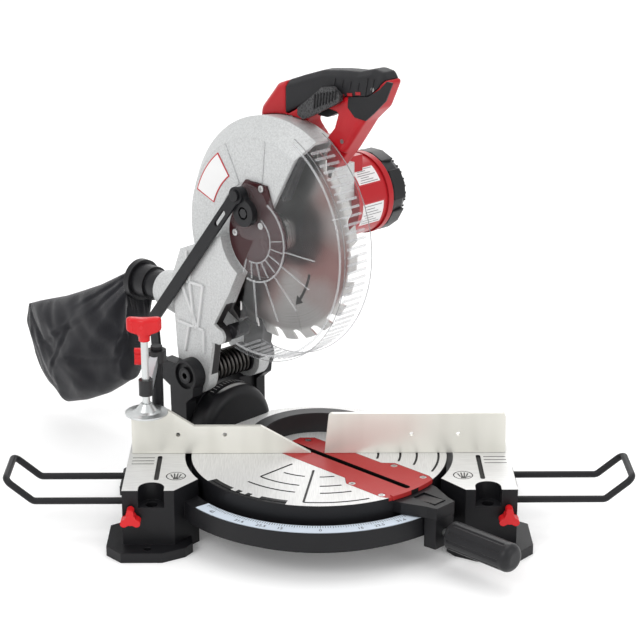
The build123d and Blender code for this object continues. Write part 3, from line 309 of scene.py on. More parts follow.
def insert_finish():
    """Red insert plastic, with painted shadow: the walls inside its kerf are coloured black."""
    s = Shader("insert_plastic", Specular_IOR_Level=0.32)
    forward, across, up = s.head_axes()
    kerf = s.step(across.absolute(), 0.0060, 0.0062)
    upward = s.facing_up()
    clear_of_painted_shadow = kerf + upward - kerf * upward
    # painted shadow: inside the kerf, faces that do not look up get near-black instead of red
    s.feed("Base Color", s.mix(clear_of_painted_shadow, (0.004, 0.004, 0.004), (0.40, 0.022, 0.022)))
    s.feed("Roughness", 0.40 + s.noise(30, 3) * 0.1)
    s.bump(s.noise(1200, 2), 0.1, 0.0005, soft=0.0008)
    return s.material


def bright_metal(name, colour, roughness, scratch):
    """Plated or ground steel with directional fine lines."""
    s = Shader(name, Metallic=1.0)
    lines = s.streaks(scratch, 4.0)
    s.feed("Base Color", s.mix(s.noise(25, 3), tinted(colour, 0.82), tinted(colour, 1.1)))
    s.feed("Roughness", roughness + lines * 0.16)
    s.bump(lines, 0.06, 0.0003, soft=0.0006)
    return s.material


def blade_finish():
    """Ground blade steel: rings about the axle, and a brighter tooth rim."""
    s = Shader("blade_finish", Metallic=1.0)
    forward, across, up = s.head_axes()
    forward, up = forward - AXLE[0], up - AXLE[1]
    radius = (forward * forward + up * up) ** 0.5
    rings = s.node("ShaderNodeTexNoise", {"noise_dimensions": "1D"},
                   {"W": radius * 900.0, "Scale": 1.0, "Detail": 4.0})
    rim = s.step(radius, 0.113, 0.119)
    glow = s.noise(11.0, 1.0)
    body = s.mix(rings, (0.20, 0.19, 0.185), (0.42, 0.41, 0.40))
    warm = s.mix(s.step(glow, 0.42, 0.62), body, (0.22, 0.11, 0.10))
    s.feed("Base Color", s.mix(rim, warm, (0.55, 0.54, 0.53)))
    s.feed("Roughness", 0.24 + rings * 0.14)
    s.bump(rings, 0.06, 0.0002)
    return s.material


def clear_plastic(name, strength):
    """Clear polycarbonate with a faint haze."""
    s = Shader(name, Roughness=0.05, Specular_IOR_Level=0.8)
    haze = s.noise(30, 4)
    s.feed("Base Color", s.mix(haze, (0.40, 0.41, 0.42), (0.72, 0.73, 0.74)))
    s.feed("Alpha", strength + haze * strength * 0.7)
    s.bump(haze, 0.05, 0.0008)
    return s.material


def edge_plastic():
    """The edge of a clear sheet, which gathers light and dark."""
    s = Shader("guard_edge_clear", Roughness=0.12, Specular_IOR_Level=0.6)
    tone = s.noise(45, 3)
    s.feed("Base Color", s.mix(tone, (0.10, 0.10, 0.11), (0.42, 0.43, 0.44)))
    s.feed("Alpha", 0.45 + tone * 0.2)
    return s.material


def table_finish(settings):
    """The machined table top, with the stepped black trim along its front left rim."""
    s = Shader("table_casting", Specular_IOR_Level=0.26)
    x, y, z = s.split(s.place)
    top = s.step(z, TOP_HEIGHT - 0.0006, TOP_HEIGHT - 0.0002) * s.facing_up()
    radius = (x * x + y * y) ** 0.5
    angle = s.node("ShaderNodeMath", {"operation": "ARCTAN2"}, {0: y, 1: x}) * math.degrees(1)
    # the trim runs between two angles, with a pad at each end and teeth between them
    span = (angle > -148.0) * (angle < -105.0)
    pads = (angle < -137.0) + (angle > -118.0)
    teeth = ((angle * 1.1).sine() > 0.1) * (angle > -137.0) * (angle < -122.0)
    step_in = 0.0065
    trim = (radius > 0.1455 - pads * step_in - teeth * step_in) * span
    lines = s.streaks((1400, 60, 60))
    shine = top * (1 - trim)
    s.feed("Base Color", s.mix(shine, tuple(settings.black), s.mix(s.step(lines, 0.3, 0.7), *MACHINED)))
    s.feed("Metallic", shine * 0.35)
    s.feed("Roughness", 0.38 + s.noise(9, 3) * 0.1)
    s.bump(lines * shine + s.noise(900, 2) * (1 - shine), 0.10, 0.0005, soft=0.0010)
    return s.material


def clamp_arm_finish(settings):
    """Zinc plate between two black sleeves."""
    s = Shader("clamp_arm_finish")
    x, y, z = s.split(s.place)

    def away(middle_x, middle_y, reach):
        """0 within reach of an upright line, 1 past it."""
        across, back = x - middle_x, y - middle_y
        return s.step((across * across + back * back) ** 0.5, reach, reach + 0.0002)

    # clear of the sleeve on the post and of the one on the spindle
    plate = away(-0.191, 0.030, 0.0116) * away(-0.2015, -0.008, 0.0084)
    tone = s.noise(60, 3)
    s.feed("Base Color", s.mix(plate, tuple(settings.black), (0.62, 0.63, 0.65)))
    s.feed("Metallic", plate)
    s.feed("Roughness", 0.36 - plate * 0.1 + tone * 0.1)
    s.bump(s.noise(900, 2), 0.1, 0.0004, soft=0.001)
    return s.material


def coarse_cloth(settings):
    """Plain woven black cloth, drawn on the bag's own unwrapped length and girth."""
    s = Shader("bag_cloth", Roughness=0.85, Specular_IOR_Level=0.25, Sheen_Weight=0.35,
               Sheen_Roughness=0.45)
    grid = s.node("ShaderNodeUVMap", {"uv_map": "cloth"}, {})
    along, around = s.split(grid)[:2]
    pitch = math.pi / settings.weave
    threads = ((along * pitch).sine() * (around * pitch).sine()).absolute()
    s.feed("Base Color", s.mix(s.noise(26, 5, 0.65), tuple(settings.cloth), tinted(settings.cloth, 2.0)))
    s.bump(threads + s.noise(160, 4) * 0.4, 0.35, 0.0006)
    return s.material


def paper(name, colour):
    """Printed label stock."""
    s = Shader(name)
    s.feed("Base Color", s.mix(s.noise(60, 3), tinted(colour, 0.94), colour))
    s.feed("Roughness", 0.35 + s.noise(90, 2) * 0.08)
    return s.material


def honeycomb(settings):
    """Black lever plastic with a moulded cell pattern."""
    s = Shader("lever_plastic", Specular_IOR_Level=0.5)
    cells = s.node("ShaderNodeTexVoronoi", {"feature": "DISTANCE_TO_EDGE"},
                   {"Vector": s.place, "Scale": 300.0, "Randomness": 0.8})
    wall = s.step(cells, 0.05, 0.2)
    s.feed("Base Color", s.mix(wall, WORN_BLACK, tuple(settings.black)))
    s.feed("Roughness", 0.5 - wall * 0.1)
    s.bump(s.step(cells, 0.02, 0.25), 0.4, 0.0008, soft=0.0008)
    return s.material


# ------------------------------------------------------------------ building kit
def head_point(forward, across, up):
    """A point given along the kerf, across the blade and up, in the row frame."""
    return TURN @ Vector((forward, across, up))


def settings():
    """The saw's colours and sizes in this scene."""
    return bpy.context.scene.mitre_saw


def new_object(name, data):
    """A new object in the scene."""
    made = bpy.data.objects.new(name, data)
    bpy.context.scene.collection.objects.link(made)
    return made


def keep_piece(name, mesh, body, material, smooth=40):
    """Makes an object of a finished mesh and lets it ride on a body."""
    piece = new_object(name, mesh)
    if material is not None:
        mesh.materials.clear()
        mesh.materials.append(material)
    mesh.shade_smooth()
    if smooth is not None:
        mesh.set_sharp_from_angle(angle=math.radians(smooth))
    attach(piece, body)
    return piece


def mesh_from(name, fill):
    """A mesh that a function fills with bmesh, with its faces turned outwards."""
    bm = bmesh.new()
    fill(bm)
    bmesh.ops.remove_doubles(bm, verts=bm.verts, dist=1e-6)
    bmesh.ops.recalc_face_normals(bm, faces=bm.faces)
    mesh = bpy.data.meshes.new(name)
    bm.to_mesh(mesh)
    bm.free()
    return mesh


def make_piece(name, fill, body, material):
    """A piece from a function that fills its mesh."""
    return keep_piece(name, mesh_from(name, fill), body, material)


def add_prism(bm, outline, low, high, matrix):
    """A closed prism over an outline in X and Y, from low to high along Z, then placed."""
    base = [bm.verts.new(matrix @ Vector((x, y, low))) for x, y in outline]
    top = [bm.verts.new(matrix @ Vector((x, y, high))) for x, y in outline]
    bm.faces.new(base[::-1])
    bm.faces.new(top)
    count = len(outline)
    for i in range(count):
        j = (i + 1) % count
        bm.faces.new((base[i], base[j], top[j], top[i]))


def add_bar(bm, start, end, half, low, high, matrix):
    """A straight bar between two points of a drawing, twice half wide."""
    (ax, ay), (bx, by) = start, end
    length = math.hypot(bx - ax, by - ay)
    nx, ny = -(by - ay) / length * half, (bx - ax) / length * half
    outline = ((ax + nx, ay + ny), (ax - nx, ay - ny), (bx - nx, by - ny), (bx + nx, by + ny))
    add_prism(bm, outline, low, high, matrix)


def side_matrix(across):
    """Places a drawing in (forward, up) at a distance across the blade, its +Z to the left."""
    return TURN @ Matrix.Translation((0, across, 0)) @ Matrix.Rotation(math.radians(90), 4, "X")


def arc_outline(inner, outer, start, end, steps):
    """The outline of a ring segment, in degrees."""
    angles = [math.radians(start + (end - start) * i / steps) for i in range(steps + 1)]
    points = [(outer * math.cos(a), outer * math.sin(a)) for a in angles]
    return points + [(inner * math.cos(a), inner * math.sin(a)) for a in reversed(angles)]


def round_outline(radius, corners=32):
    """A round outline."""
    angles = [2 * math.pi * i / corners for i in range(corners)]
    return [(radius * math.cos(angle), radius * math.sin(angle)) for angle in angles]


def plain_mesh(piece):
    """An object's shape with its modifiers applied, as a new mesh."""
    graph = bpy.context.evaluated_depsgraph_get()
    graph.update()
    return bpy.data.meshes.new_from_object(piece.evaluated_get(graph))


def bake_modifiers(piece):
    """Turns a piece's modifiers into plain mesh."""
    mesh = plain_mesh(piece)
    piece.modifiers.clear()
    piece.data = mesh


def soften(piece, width):
    """Rounds a piece's edges for good."""
    modifier = piece.modifiers.new("round", "BEVEL")
    modifier.width, modifier.segments, modifier.limit_method = width, 2, "ANGLE"
    bake_modifiers(piece)


def wheel_tree():
    """Blocks set round an arc: the guard's ribs and spokes, the scales' marks and the cap's vents."""
    tree = bpy.data.node_groups.new("blocks_round_an_arc", "GeometryNodeTree")
    tree.interface.new_socket("Geometry", in_out="INPUT", socket_type="NodeSocketGeometry")
    inputs = (("Count", "Int", 10), ("Radius", "Float", 0.1), ("Start", "Float", 0.0), ("Pitch", "Float", 0.1),
              ("Size", "Vector", (0.01, 0.01, 0.01)), ("Lean", "Float", 0.0),
              ("Long Every", "Int", 1), ("Long Share", "Float", 1.0))
    for name, kind, default in inputs:
        socket = tree.interface.new_socket(name, in_out="INPUT", socket_type="NodeSocket" + kind)
        socket.default_value = default
    tree.interface.new_socket("Material", in_out="INPUT", socket_type="NodeSocketMaterial")
    tree.interface.new_socket("Geometry", in_out="OUTPUT", socket_type="NodeSocketGeometry")
    nodes, links = tree.nodes, tree.links
    source, sink = nodes.new("NodeGroupInput"), nodes.new("NodeGroupOutput")

    def filled(made, values):
        """Gives a node's sockets their links or values, in order."""
        for i, value in enumerate(values):
            if isinstance(value, bpy.types.NodeSocket):
                links.new(value, made.inputs[i])
            else:
                made.inputs[i].default_value = value
        return made.outputs[0]

    def maths(operation, *values):
        made = nodes.new("ShaderNodeMath")
        made.operation = operation
        return filled(made, values)

    def joined(x, y, z):
        return filled(nodes.new("ShaderNodeCombineXYZ"), (x, y, z))

    index = nodes.new("GeometryNodeInputIndex").outputs[0]
    angle = maths("MULTIPLY_ADD", index, source.outputs["Pitch"], source.outputs["Start"])
    every = maths("MODULO", index, source.outputs["Long Every"])
    longer = maths("LESS_THAN", every, 0.5)
    extra = maths("SUBTRACT", source.outputs["Long Share"], 1.0)
    share = maths("ADD", 1.0, maths("MULTIPLY", longer, extra))
    line = nodes.new("GeometryNodeMeshLine")
    links.new(source.outputs["Count"], line.inputs["Count"])
    move = nodes.new("GeometryNodeSetPosition")
    links.new(line.outputs[0], move.inputs["Geometry"])
    right = maths("MULTIPLY", source.outputs["Radius"], maths("COSINE", angle))
    above = maths("MULTIPLY", source.outputs["Radius"], maths("SINE", angle))
    links.new(joined(right, 0.0, above), move.inputs["Position"])
    block = nodes.new("GeometryNodeMeshCube")
    links.new(source.outputs["Size"], block.inputs["Size"])
    spread = nodes.new("GeometryNodeInstanceOnPoints")
    links.new(move.outputs[0], spread.inputs["Points"])
    links.new(block.outputs[0], spread.inputs["Instance"])
    turn = maths("MULTIPLY", maths("ADD", angle, source.outputs["Lean"]), -1.0)
    links.new(joined(0.0, turn, 0.0), spread.inputs["Rotation"])
    links.new(joined(share, 1.0, 1.0), spread.inputs["Scale"])
    real = nodes.new("GeometryNodeRealizeInstances")
    links.new(spread.outputs[0], real.inputs[0])
    paint = nodes.new("GeometryNodeSetMaterial")
    links.new(real.outputs[0], paint.inputs["Geometry"])
    links.new(source.outputs["Material"], paint.inputs["Material"])
    links.new(paint.outputs[0], sink.inputs[0])
    return tree


def blocks_round(name, body, material, matrix, slot=None, **values):
    """Runs the block tree and keeps its result as one plain piece."""
    tree = bpy.data.node_groups.get("blocks_round_an_arc") or wheel_tree()
    seed = new_object(name + "_seed", bpy.data.meshes.new(name + "_seed"))
    modifier = seed.modifiers.new("blocks", "NODES")
    modifier.node_group = tree
    values["Material"] = material
    for item in tree.interface.items_tree:
        if item.in_out == "INPUT" and item.name in values:
            modifier[item.identifier] = values[item.name]
    mesh = plain_mesh(seed)
    bpy.data.objects.remove(seed)
    mesh.name = name
    mesh.transform(matrix)
    return keep_piece(name, mesh, body, None)


def lettering(text, size, matrix):
    """Plain numerals as a thin mesh, placed by a matrix."""
    curve = bpy.data.curves.new("numeral", "FONT")
    curve.body, curve.size, curve.extrude = text, size, 0.00008
    curve.align_x, curve.align_y = "CENTER", "CENTER"
    curve.resolution_u = 2
    holder = new_object("numeral", curve)
    mesh = plain_mesh(holder)
    bpy.data.objects.remove(holder)
    mesh.transform(matrix)
    return mesh


def joined_mesh(name, meshes):
    """Several meshes as one."""
    bm = bmesh.new()
    for mesh in meshes:
        bm.from_mesh(mesh)
    whole = bpy.data.meshes.new(name)
    bm.to_mesh(whole)
    bm.free()
    return whole


def dress(material, *nodes):
    """Gives CAD nodes their finish."""
    for name in nodes:
        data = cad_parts[name].data
        data.materials.clear()
        data.materials.append(material)


# ------------------------------------------------------------------ operators: finishes
class SAW_OT_castings(bpy.types.Operator):
    """Paint the base, table, fence, bracket and head castings"""

    bl_idname = "mitre_saw.castings"
    bl_label = "Castings"

    def execute(self, context):
        s = settings()
        dress(base_finish(s), "base_casting")
        dress(table_finish(s), "turntable")
        dress(fence_finish(s), "fence")
        dress(black_casting(s), "bevel_bracket", "wing_left", "wing_right", "guard_link", "clamp_post")
        dress(clamp_arm_finish(s), "clamp_arm")
        dress(silver_casting(s), "head_casting", "gearbox")
        return {"FINISHED"}


class SAW_OT_plastics(bpy.types.Operator):
    """Give the moulded pieces their plastics and rubber"""

    bl_idname = "mitre_saw.plastics"
    bl_label = "Plastics"

    def execute(self, context):
        s = settings()
        red, black = tuple(s.red), tuple(s.black)
        dress(moulded("red_plastic", red, 0.30), "motor_housing", "handle_body")
        dress(moulded("red_knob_plastic", (0.62, 0.012, 0.016), 0.26), "clamp_knob", "clamp_side_knob",
              "wing_knob_left", "wing_knob_right")
        dress(insert_finish(), "kerf_insert")
        dress(moulded("black_plastic", black, 0.40), "motor_cap", "brush_caps", "fan", "guard_crank",
              "spring_spool", "detent_lever", "bevel_lever", "trigger", "bag_collar", "dust_adapter")
        dress(moulded("grip_rubber", tinted(black, 1.3), 0.55, grain=1500, strength=0.25),
              "handle_grip", "stop_roller")
        dress(moulded("handle_rubber", tinted(black, 1.1), 0.38, grain=1500, strength=0.2), "lock_handle")
        dress(moulded("cover_plastic", (0.040, 0.008, 0.010), 0.26, grain=2400, strength=0.02),
              "centre_cover")
        dress(honeycomb(s), "guard_lever")
        dress(clear_plastic("guard_clear", 0.035), "lower_guard")
        dress(paper("scale_paper", (0.66, 0.74, 0.83)), "mitre_scale")
        dress(moulded("bevel_scale_plastic", black, 0.4), "bevel_scale")
        return {"FINISHED"}


class SAW_OT_metals(bpy.types.Operator):
    """Give the bare metal pieces their plating and grinding marks"""

    bl_idname = "mitre_saw.metals"
    bl_label = "Metals"

    def execute(self, context):
        dress(blade_finish(), "blade")
        dress(bright_metal("zinc_plate", (0.66, 0.68, 0.68), 0.24, (40, 40, 900)),
              "clamp_spindle", "clamp_pad", "lock_shank")
        dress(bright_metal("black_oxide", (0.05, 0.05, 0.052), 0.30, (300, 300, 300)),
              "pivot_shaft", "link_pin", "bevel_bolt", "guard_bolt")
        dress(bright_metal("bright_steel", (0.62, 0.62, 0.62), 0.22, (300, 300, 300)),
              "insert_screws", "cover_screws", "arbor_bolt", "blade_flanges", "arbor_shaft", "arbor_bearing",
              "motor_bearing", "fence_bolts", "mitre_pivot_bolt", "final_gear")
        dress(bright_metal("spring_steel", (0.10, 0.095, 0.09), 0.26, (200, 200, 200)), "return_spring")
        dress(bright_metal("winding_copper", (0.40, 0.20, 0.10), 0.35, (500, 500, 500)),
              "armature", "stator")
        return {"FINISHED"}


# ------------------------------------------------------------------ operators: pieces
class SAW_OT_dust_bag(bpy.types.Operator):
    """Sew the cloth dust bag, let it sag and fold, and close it on its collar"""

    bl_idname = "mitre_saw.dust_bag"
    bl_label = "Dust bag"

    def execute(self, context):
        stations = [  # back along the kerf, across, top, bottom, half width
            (-0.3150, -0.005, 0.2490, 0.2030, 0.0225), (-0.3200, -0.006, 0.2470, 0.1900, 0.0225),
            (-0.3280, -0.007, 0.2425, 0.1130, 0.0200), (-0.3400, -0.009, 0.2370, 0.0860, 0.0250),
            (-0.3850, -0.012, 0.2120, 0.0570, 0.0295), (-0.4230, -0.015, 0.1950, 0.0400, 0.0305),
            (-0.4580, -0.017, 0.1800, 0.0290, 0.0290), (-0.4850, -0.019, 0.1710, 0.0480, 0.0240),
            (-0.5110, -0.021, 0.1620, 0.0800, 0.0170), (-0.5310, -0.023, 0.1540, 0.1110, 0.0050)]
        girth, along = 120, 96            # points round the bag, and sections along it
        cloth_length, cloth_girth = 0.24, 0.34
        mesh = bpy.data.meshes.new("dust_bag_cloth")
        bm = bmesh.new()
        layer = bm.loops.layers.uv.new("cloth")
        grid = []
        for i in range(along + 1):
            place = self.between(stations, i / along)
            ring = [self.skin_point(place, 2 * math.pi * j / girth) for j in range(girth)]
            grid.append([bm.verts.new(point) for point in ring])
        for i in range(along):
            for j in range(girth):
                k = (j + 1) % girth
                face = bm.faces.new((grid[i][j], grid[i][k], grid[i + 1][k], grid[i + 1][j]))
                spots = ((i, j), (i, j + 1), (i + 1, j + 1), (i + 1, j))
                for loop, (a, b) in zip(face.loops, spots):
                    loop[layer].uv = (a / along * cloth_length, b / girth * cloth_girth)
        for ring in (grid[0], grid[-1]):
            centre = bm.verts.new(sum((v.co for v in ring), Vector()) / girth)
            for j in range(girth):
                bm.faces.new((ring[j], ring[(j + 1) % girth], centre))
        bmesh.ops.recalc_face_normals(bm, faces=bm.faces)
        bm.to_mesh(mesh)
        bm.free()
        bag = new_object("dust_bag_cloth", mesh)
        rest = [v.co.copy() for v in mesh.vertices]
        self.simulate(context, bag, girth)
        self.tame(bag, rest, 0.009)
        bag.data.materials.append(coarse_cloth(settings()))
        bag.data.shade_smooth()
        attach(bag, "head")
        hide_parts("dust_bag")
        return {"FINISHED"}

    def between(self, stations, share):
        """The bag's section at a share of its length, smoothed between the stations."""
        spot = share * (len(stations) - 1)
        i = min(int(spot), len(stations) - 2)
        f = spot - i
        f = f * f * (3 - 2 * f) * 0.35 + f * 0.65
        return [a + (b - a) * f for a, b in zip(stations[i], stations[i + 1])]

    def skin_point(self, place, angle):
        """A point of the bag's skin: pillow-shaped sections that pinch at the top and bottom seams."""
        back, across, top, bottom, half = place
        tall = (top - bottom) / 2
        c, s = math.cos(angle), math.sin(angle)
        wide = math.copysign(abs(c) ** 0.8, c) * half
        high = math.copysign(abs(s) ** 0.9, s) * tall
        fold = noise.noise(Vector((back * 22, high * 30, 3.1))) * 0.0060
        fold += noise.noise(Vector((back * 60 + high * 45, high * 10, wide * 80))) * 0.0026
        fold -= 0.0022 * math.exp(-((high + 0.012 + (back + 0.42) * 0.35) / 0.0030) ** 2)
        for start, end, depth in CREASES:
            fold += self.crease(back, (top + bottom) / 2 + high, start, end) * depth
        edge = min(1.0, (back + 0.315) / -0.02)      # no folds where the mouth is tied
        lean = math.copysign(1, c) * abs(c) ** 0.5
        return head_point(back, across + wide + lean * fold * edge, (top + bottom) / 2 + high)

    def crease(self, back, up, start, end):
        """A sharp valley beside a low ridge, along a line on the bag's side."""
        line = Vector(end) - Vector(start)
        spot = Vector((back, up)) - Vector(start)
        share = min(1.0, max(0.0, spot.dot(line) / line.length_squared))
        away = (spot - line * share).length
        side = math.copysign(1.0, spot.x * line.y - spot.y * line.x)
        fade = math.sin(math.pi * min(0.95, max(0.05, share)))
        ridge = math.exp(-((side * away - 0.004) / 0.004) ** 2)
        valley = math.exp(-(away / 0.0022) ** 2)
        return fade * (0.7 * ridge - valley)

    def simulate(self, context, bag, girth):
        """Cloth a little larger than its shape, so that it buckles into folds under its own weight."""
        group = bag.vertex_groups.new(name="mouth")
        group.add(list(range(girth * 3)), 1.0, "REPLACE")
        cloth = bag.modifiers.new("cloth", "CLOTH")
        cloth.settings.vertex_group_mass = "mouth"
        cloth.settings.quality = 6
        cloth.settings.mass = 0.25
        cloth.settings.shrink_min = -0.05
        cloth.settings.tension_stiffness = 12
        cloth.settings.bending_stiffness = 0.35
        cloth.settings.use_pressure = True
        cloth.settings.uniform_pressure_force = 0.6
        cloth.settings.effector_weights.gravity = 0.25
        cloth.collision_settings.use_collision = False
        for number in range(1, 23):
            context.scene.frame_set(number)
        bake_modifiers(bag)
        context.scene.frame_set(1)

    def tame(self, bag, rest, most):
        """Keeps each point near where the section puts it, and inside the bag's own space."""
        low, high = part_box("dust_bag")
        spare = 0.006
        for i, vertex in enumerate(bag.data.vertices):
            move = vertex.co - rest[i]
            if move.length > most:
                move *= most / move.length
            vertex.co = rest[i] + move
            for axis in range(3):
                vertex.co[axis] = min(max(vertex.co[axis], low[axis] - spare), high[axis] + spare)
        bag.data.update()


class SAW_OT_guard_ribs(bpy.types.Operator):
    """Set the ribs across the clear guard's rim and the spokes on its side"""

    bl_idname = "mitre_saw.guard_ribs"
    bl_label = "Guard ribs"

    def execute(self, context):
        pitch = settings().rib_angle
        start, end = math.radians(-102), math.radians(60)
        ribbed = clear_plastic("guard_rib_clear", 0.26)
        rim = TURN @ Matrix.Translation((AXLE[0], -0.0165, AXLE[1]))
        blocks_round("guard_rim_ribs", "guard", ribbed, rim, "clear_plastic",
                     Count=int((end - start) / pitch), Radius=0.1430, Start=start, Pitch=pitch,
                     Size=(0.0016, 0.030, 0.0030))
        side = TURN @ Matrix.Translation((AXLE[0], GUARD_SIDE + 0.0008, AXLE[1]))
        blocks_round("guard_spokes", "guard", ribbed, side, "clear_plastic",
                     Count=5, Radius=0.074, Start=math.radians(-88), Pitch=math.radians(21),
                     Size=(0.050, 0.0018, 0.0012), Lean=0.06)
        blocks_round("guard_hub_ribs", "guard", ribbed, side, "clear_plastic",
                     Count=8, Radius=0.0385, Start=math.radians(-112), Pitch=math.radians(17),
                     Size=(0.019, 0.0016, 0.0011), Lean=0.10)
        make_piece("guard_edge_band", self.beads, "guard", ribbed)
        make_piece("guard_outer_edge", self.outer_edge, "guard", edge_plastic())
        return {"FINISHED"}

    def outer_edge(self, bm):
        """The thick edges on both sides of the rim, where the plastic looks dark."""
        centre = Matrix.Translation((*AXLE, 0))
        rim = arc_outline(0.1446, 0.1454, *GUARD_SWEEP, 80)
        for across in (-0.0377, 0.0053):
            add_prism(bm, rim, 0, 0.0008, side_matrix(across) @ centre)

    def beads(self, bm):
        """Thin beads that stiffen the guard's side."""
        centre = Matrix.Translation((*AXLE, 0))
        tall = 0.0012
        for inner, outer, across in ((0.1372, 0.1396, GUARD_SIDE + 0.0002), (0.0495, 0.0515, GUARD_SIDE),
                                     (0.0275, 0.0288, GUARD_SIDE)):
            place = side_matrix(across + tall) @ centre
            add_prism(bm, arc_outline(inner, outer, -103, 62, 60), 0, tall, place)


class SAW_OT_mitre_scale(bpy.types.Operator):
    """Print the degree marks and numbers on the mitre scale"""

    bl_idname = "mitre_saw.mitre_scale"
    bl_label = "Mitre scale"

    def execute(self, context):
        ink = paper("scale_ink", (0.03, 0.03, 0.035))
        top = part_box("mitre_scale")[1].z
        # the drawing's up becomes the row's -Y, so +90 degrees there is straight to the front
        lay = Matrix.Translation((0, 0, top + 0.00003)) @ Matrix.Rotation(math.radians(90), 4, "X")
        pitch = settings().tick_angle
        blocks_round("scale_ticks", "base", ink, lay, "scale_label",
                     Count=int(round(math.radians(100) / pitch)) + 1, Radius=0.1635,
                     Start=math.radians(40), Pitch=pitch, Size=(0.0045, 0.00012, 0.00065),
                     **{"Long Every": 5, "Long Share": 1.5})
        figures = []
        figure_radius, figure_size = 0.1722, 0.0072
        for value in (-45, -31.6, -22.5, -15, 0, 15, 22.5, 31.6, 45):
            a = math.radians(-90 + value)
            x, y = figure_radius * math.cos(a), figure_radius * math.sin(a)
            spot = Matrix.Translation((x, y, top + 0.00004))
            turn = Matrix.Rotation(math.radians(value), 4, "Z")
            figures.append(lettering(f"{abs(value):g}", figure_size, spot @ turn))
        dome = TURN @ Matrix.Translation((-0.158, 0, 0.066)) @ Matrix.Rotation(math.radians(90), 4, "Z")
        white = paper("scale_white", (0.75, 0.75, 0.75))
        blocks_round("bevel_ticks", "table", white, dome, "scale_label",
                     Count=11, Radius=0.05985, Start=math.radians(65), Pitch=math.radians(5),
                     Size=(0.0003, 0.0060, 0.0007))
        numbers = joined_mesh("scale_numbers", figures)
        keep_piece("scale_numbers", numbers, "base", ink, smooth=None)
        return {"FINISHED"}


class SAW_OT_labels(bpy.types.Operator):
    """Stick on the blank rating labels and the blade's turning arrow"""

    bl_idname = "mitre_saw.labels"
    bl_label = "Labels"

    def execute(self, context):
        white = paper("label_white", (0.80, 0.80, 0.80))
        red = paper("label_red", (0.50, 0.02, 0.03))
        ink = paper("label_ink", (0.02, 0.02, 0.02))
        small_print = paper("label_print", (0.20, 0.20, 0.21))
        # a plain badge on the upper guard: white with a red border
        make_piece("guard_badge", lambda bm: self.badge(bm, 0.0, 0.0003), "head", red)
        make_piece("guard_badge_face", lambda bm: self.badge(bm, 1.0, 0.0005), "head", white)
        make_piece("warning_hands", self.hands, "base", ink)
        make_piece("turning_arrow", self.arrow, "guard", ink)
        for number, span in enumerate(((28, 57), (-34, 3))):
            name = f"motor_label_{{}}_{number}".format
            make_piece(name("border"), lambda bm: self.wrapped(bm, *span), "head", red)
            make_piece(name("face"), lambda bm: self.wrapped(bm, *span, 0.0016), "head", white)
            make_piece(name("lines"), lambda bm: self.print_lines(bm, *span), "head", small_print)
        return {"FINISHED"}

    def wrapped(self, bm, start, end, inset=0.0, left=0.066, right=0.104, lift=0.0):
        """A thin patch wrapped on the motor's round body, between two angles seen from the left."""
        radius = MOTOR_RADIUS + SINK + inset * 0.15 + lift
        trim = math.degrees(inset / radius)
        plate = side_matrix(right - inset) @ Matrix.Translation((*MOTOR_AXIS, 0))
        shape = arc_outline(radius - SINK, radius + 0.0001, start + trim, end - trim, 24)
        add_prism(bm, shape, 0, right - left - 2 * inset, plate)

    def print_lines(self, bm, start, end):
        """Rows of plain strokes that stand for small print."""
        count = 7
        for i in range(count):
            middle = start + (end - start) * (i + 1.2) / (count + 1.4)
            shorter = 0.006 * ((i * 7) % 3)
            left, right = 0.0705 + shorter * 0.3, 0.0995 - shorter
            self.wrapped(bm, middle - 0.5, middle + 0.5, 0.0, left, right, 0.0004)

    def badge(self, bm, inset, lift):
        """A patch of a ring on the upper guard's left face, drawn in by up to a border's width."""
        plate = side_matrix(COVER_SIDE - lift) @ Matrix.Translation((*AXLE, 0))
        inner, outer = 0.080 + 0.0015 * inset, 0.1115 - 0.0015 * inset
        add_prism(bm, arc_outline(inner, outer, 127 + inset, 160 - inset, 12), -0.0001, 0.0003, plate)

    def hands(self, bm):
        """A plain open hand inside the ring on each block: a palm and five fingers."""
        palm, finger = 0.0026, 0.0008
        strokes = (((-0.0030, -0.0065), (0.0030, -0.0065), palm),
                   ((-0.0035, -0.0040), (-0.0060, 0.0045), finger),
                   ((-0.0012, -0.0040), (-0.0020, 0.0070), finger),
                   ((0.0012, -0.0040), (0.0020, 0.0072), finger),
                   ((0.0035, -0.0040), (0.0058, 0.0050), finger),
                   ((0.0030, -0.0070), (0.0085, -0.0030), finger))
        for side in (-1, 1):
            place = Matrix.Translation((side * 0.1650, -0.0657, TOP_HEIGHT))
            for start, end, half in strokes:
                add_bar(bm, start, end, half, -0.0001, 0.0001, place)

    def arrow(self, bm):
        """The blade's turning arrow on the clear guard: a curved shaft and a head."""
        plate = side_matrix(GUARD_SIDE + 0.0013) @ Matrix.Translation((*AXLE, 0))
        add_prism(bm, arc_outline(0.0918, 0.0952, -37, -14, 10), 0, 0.0003, plate)
        corners = ((0.0878, -36), (0.0935, -43), (0.0992, -36))
        head = [(r * math.cos(math.radians(a)), r * math.sin(math.radians(a))) for r, a in corners]
        add_prism(bm, head, 0, 0.0002, plate)


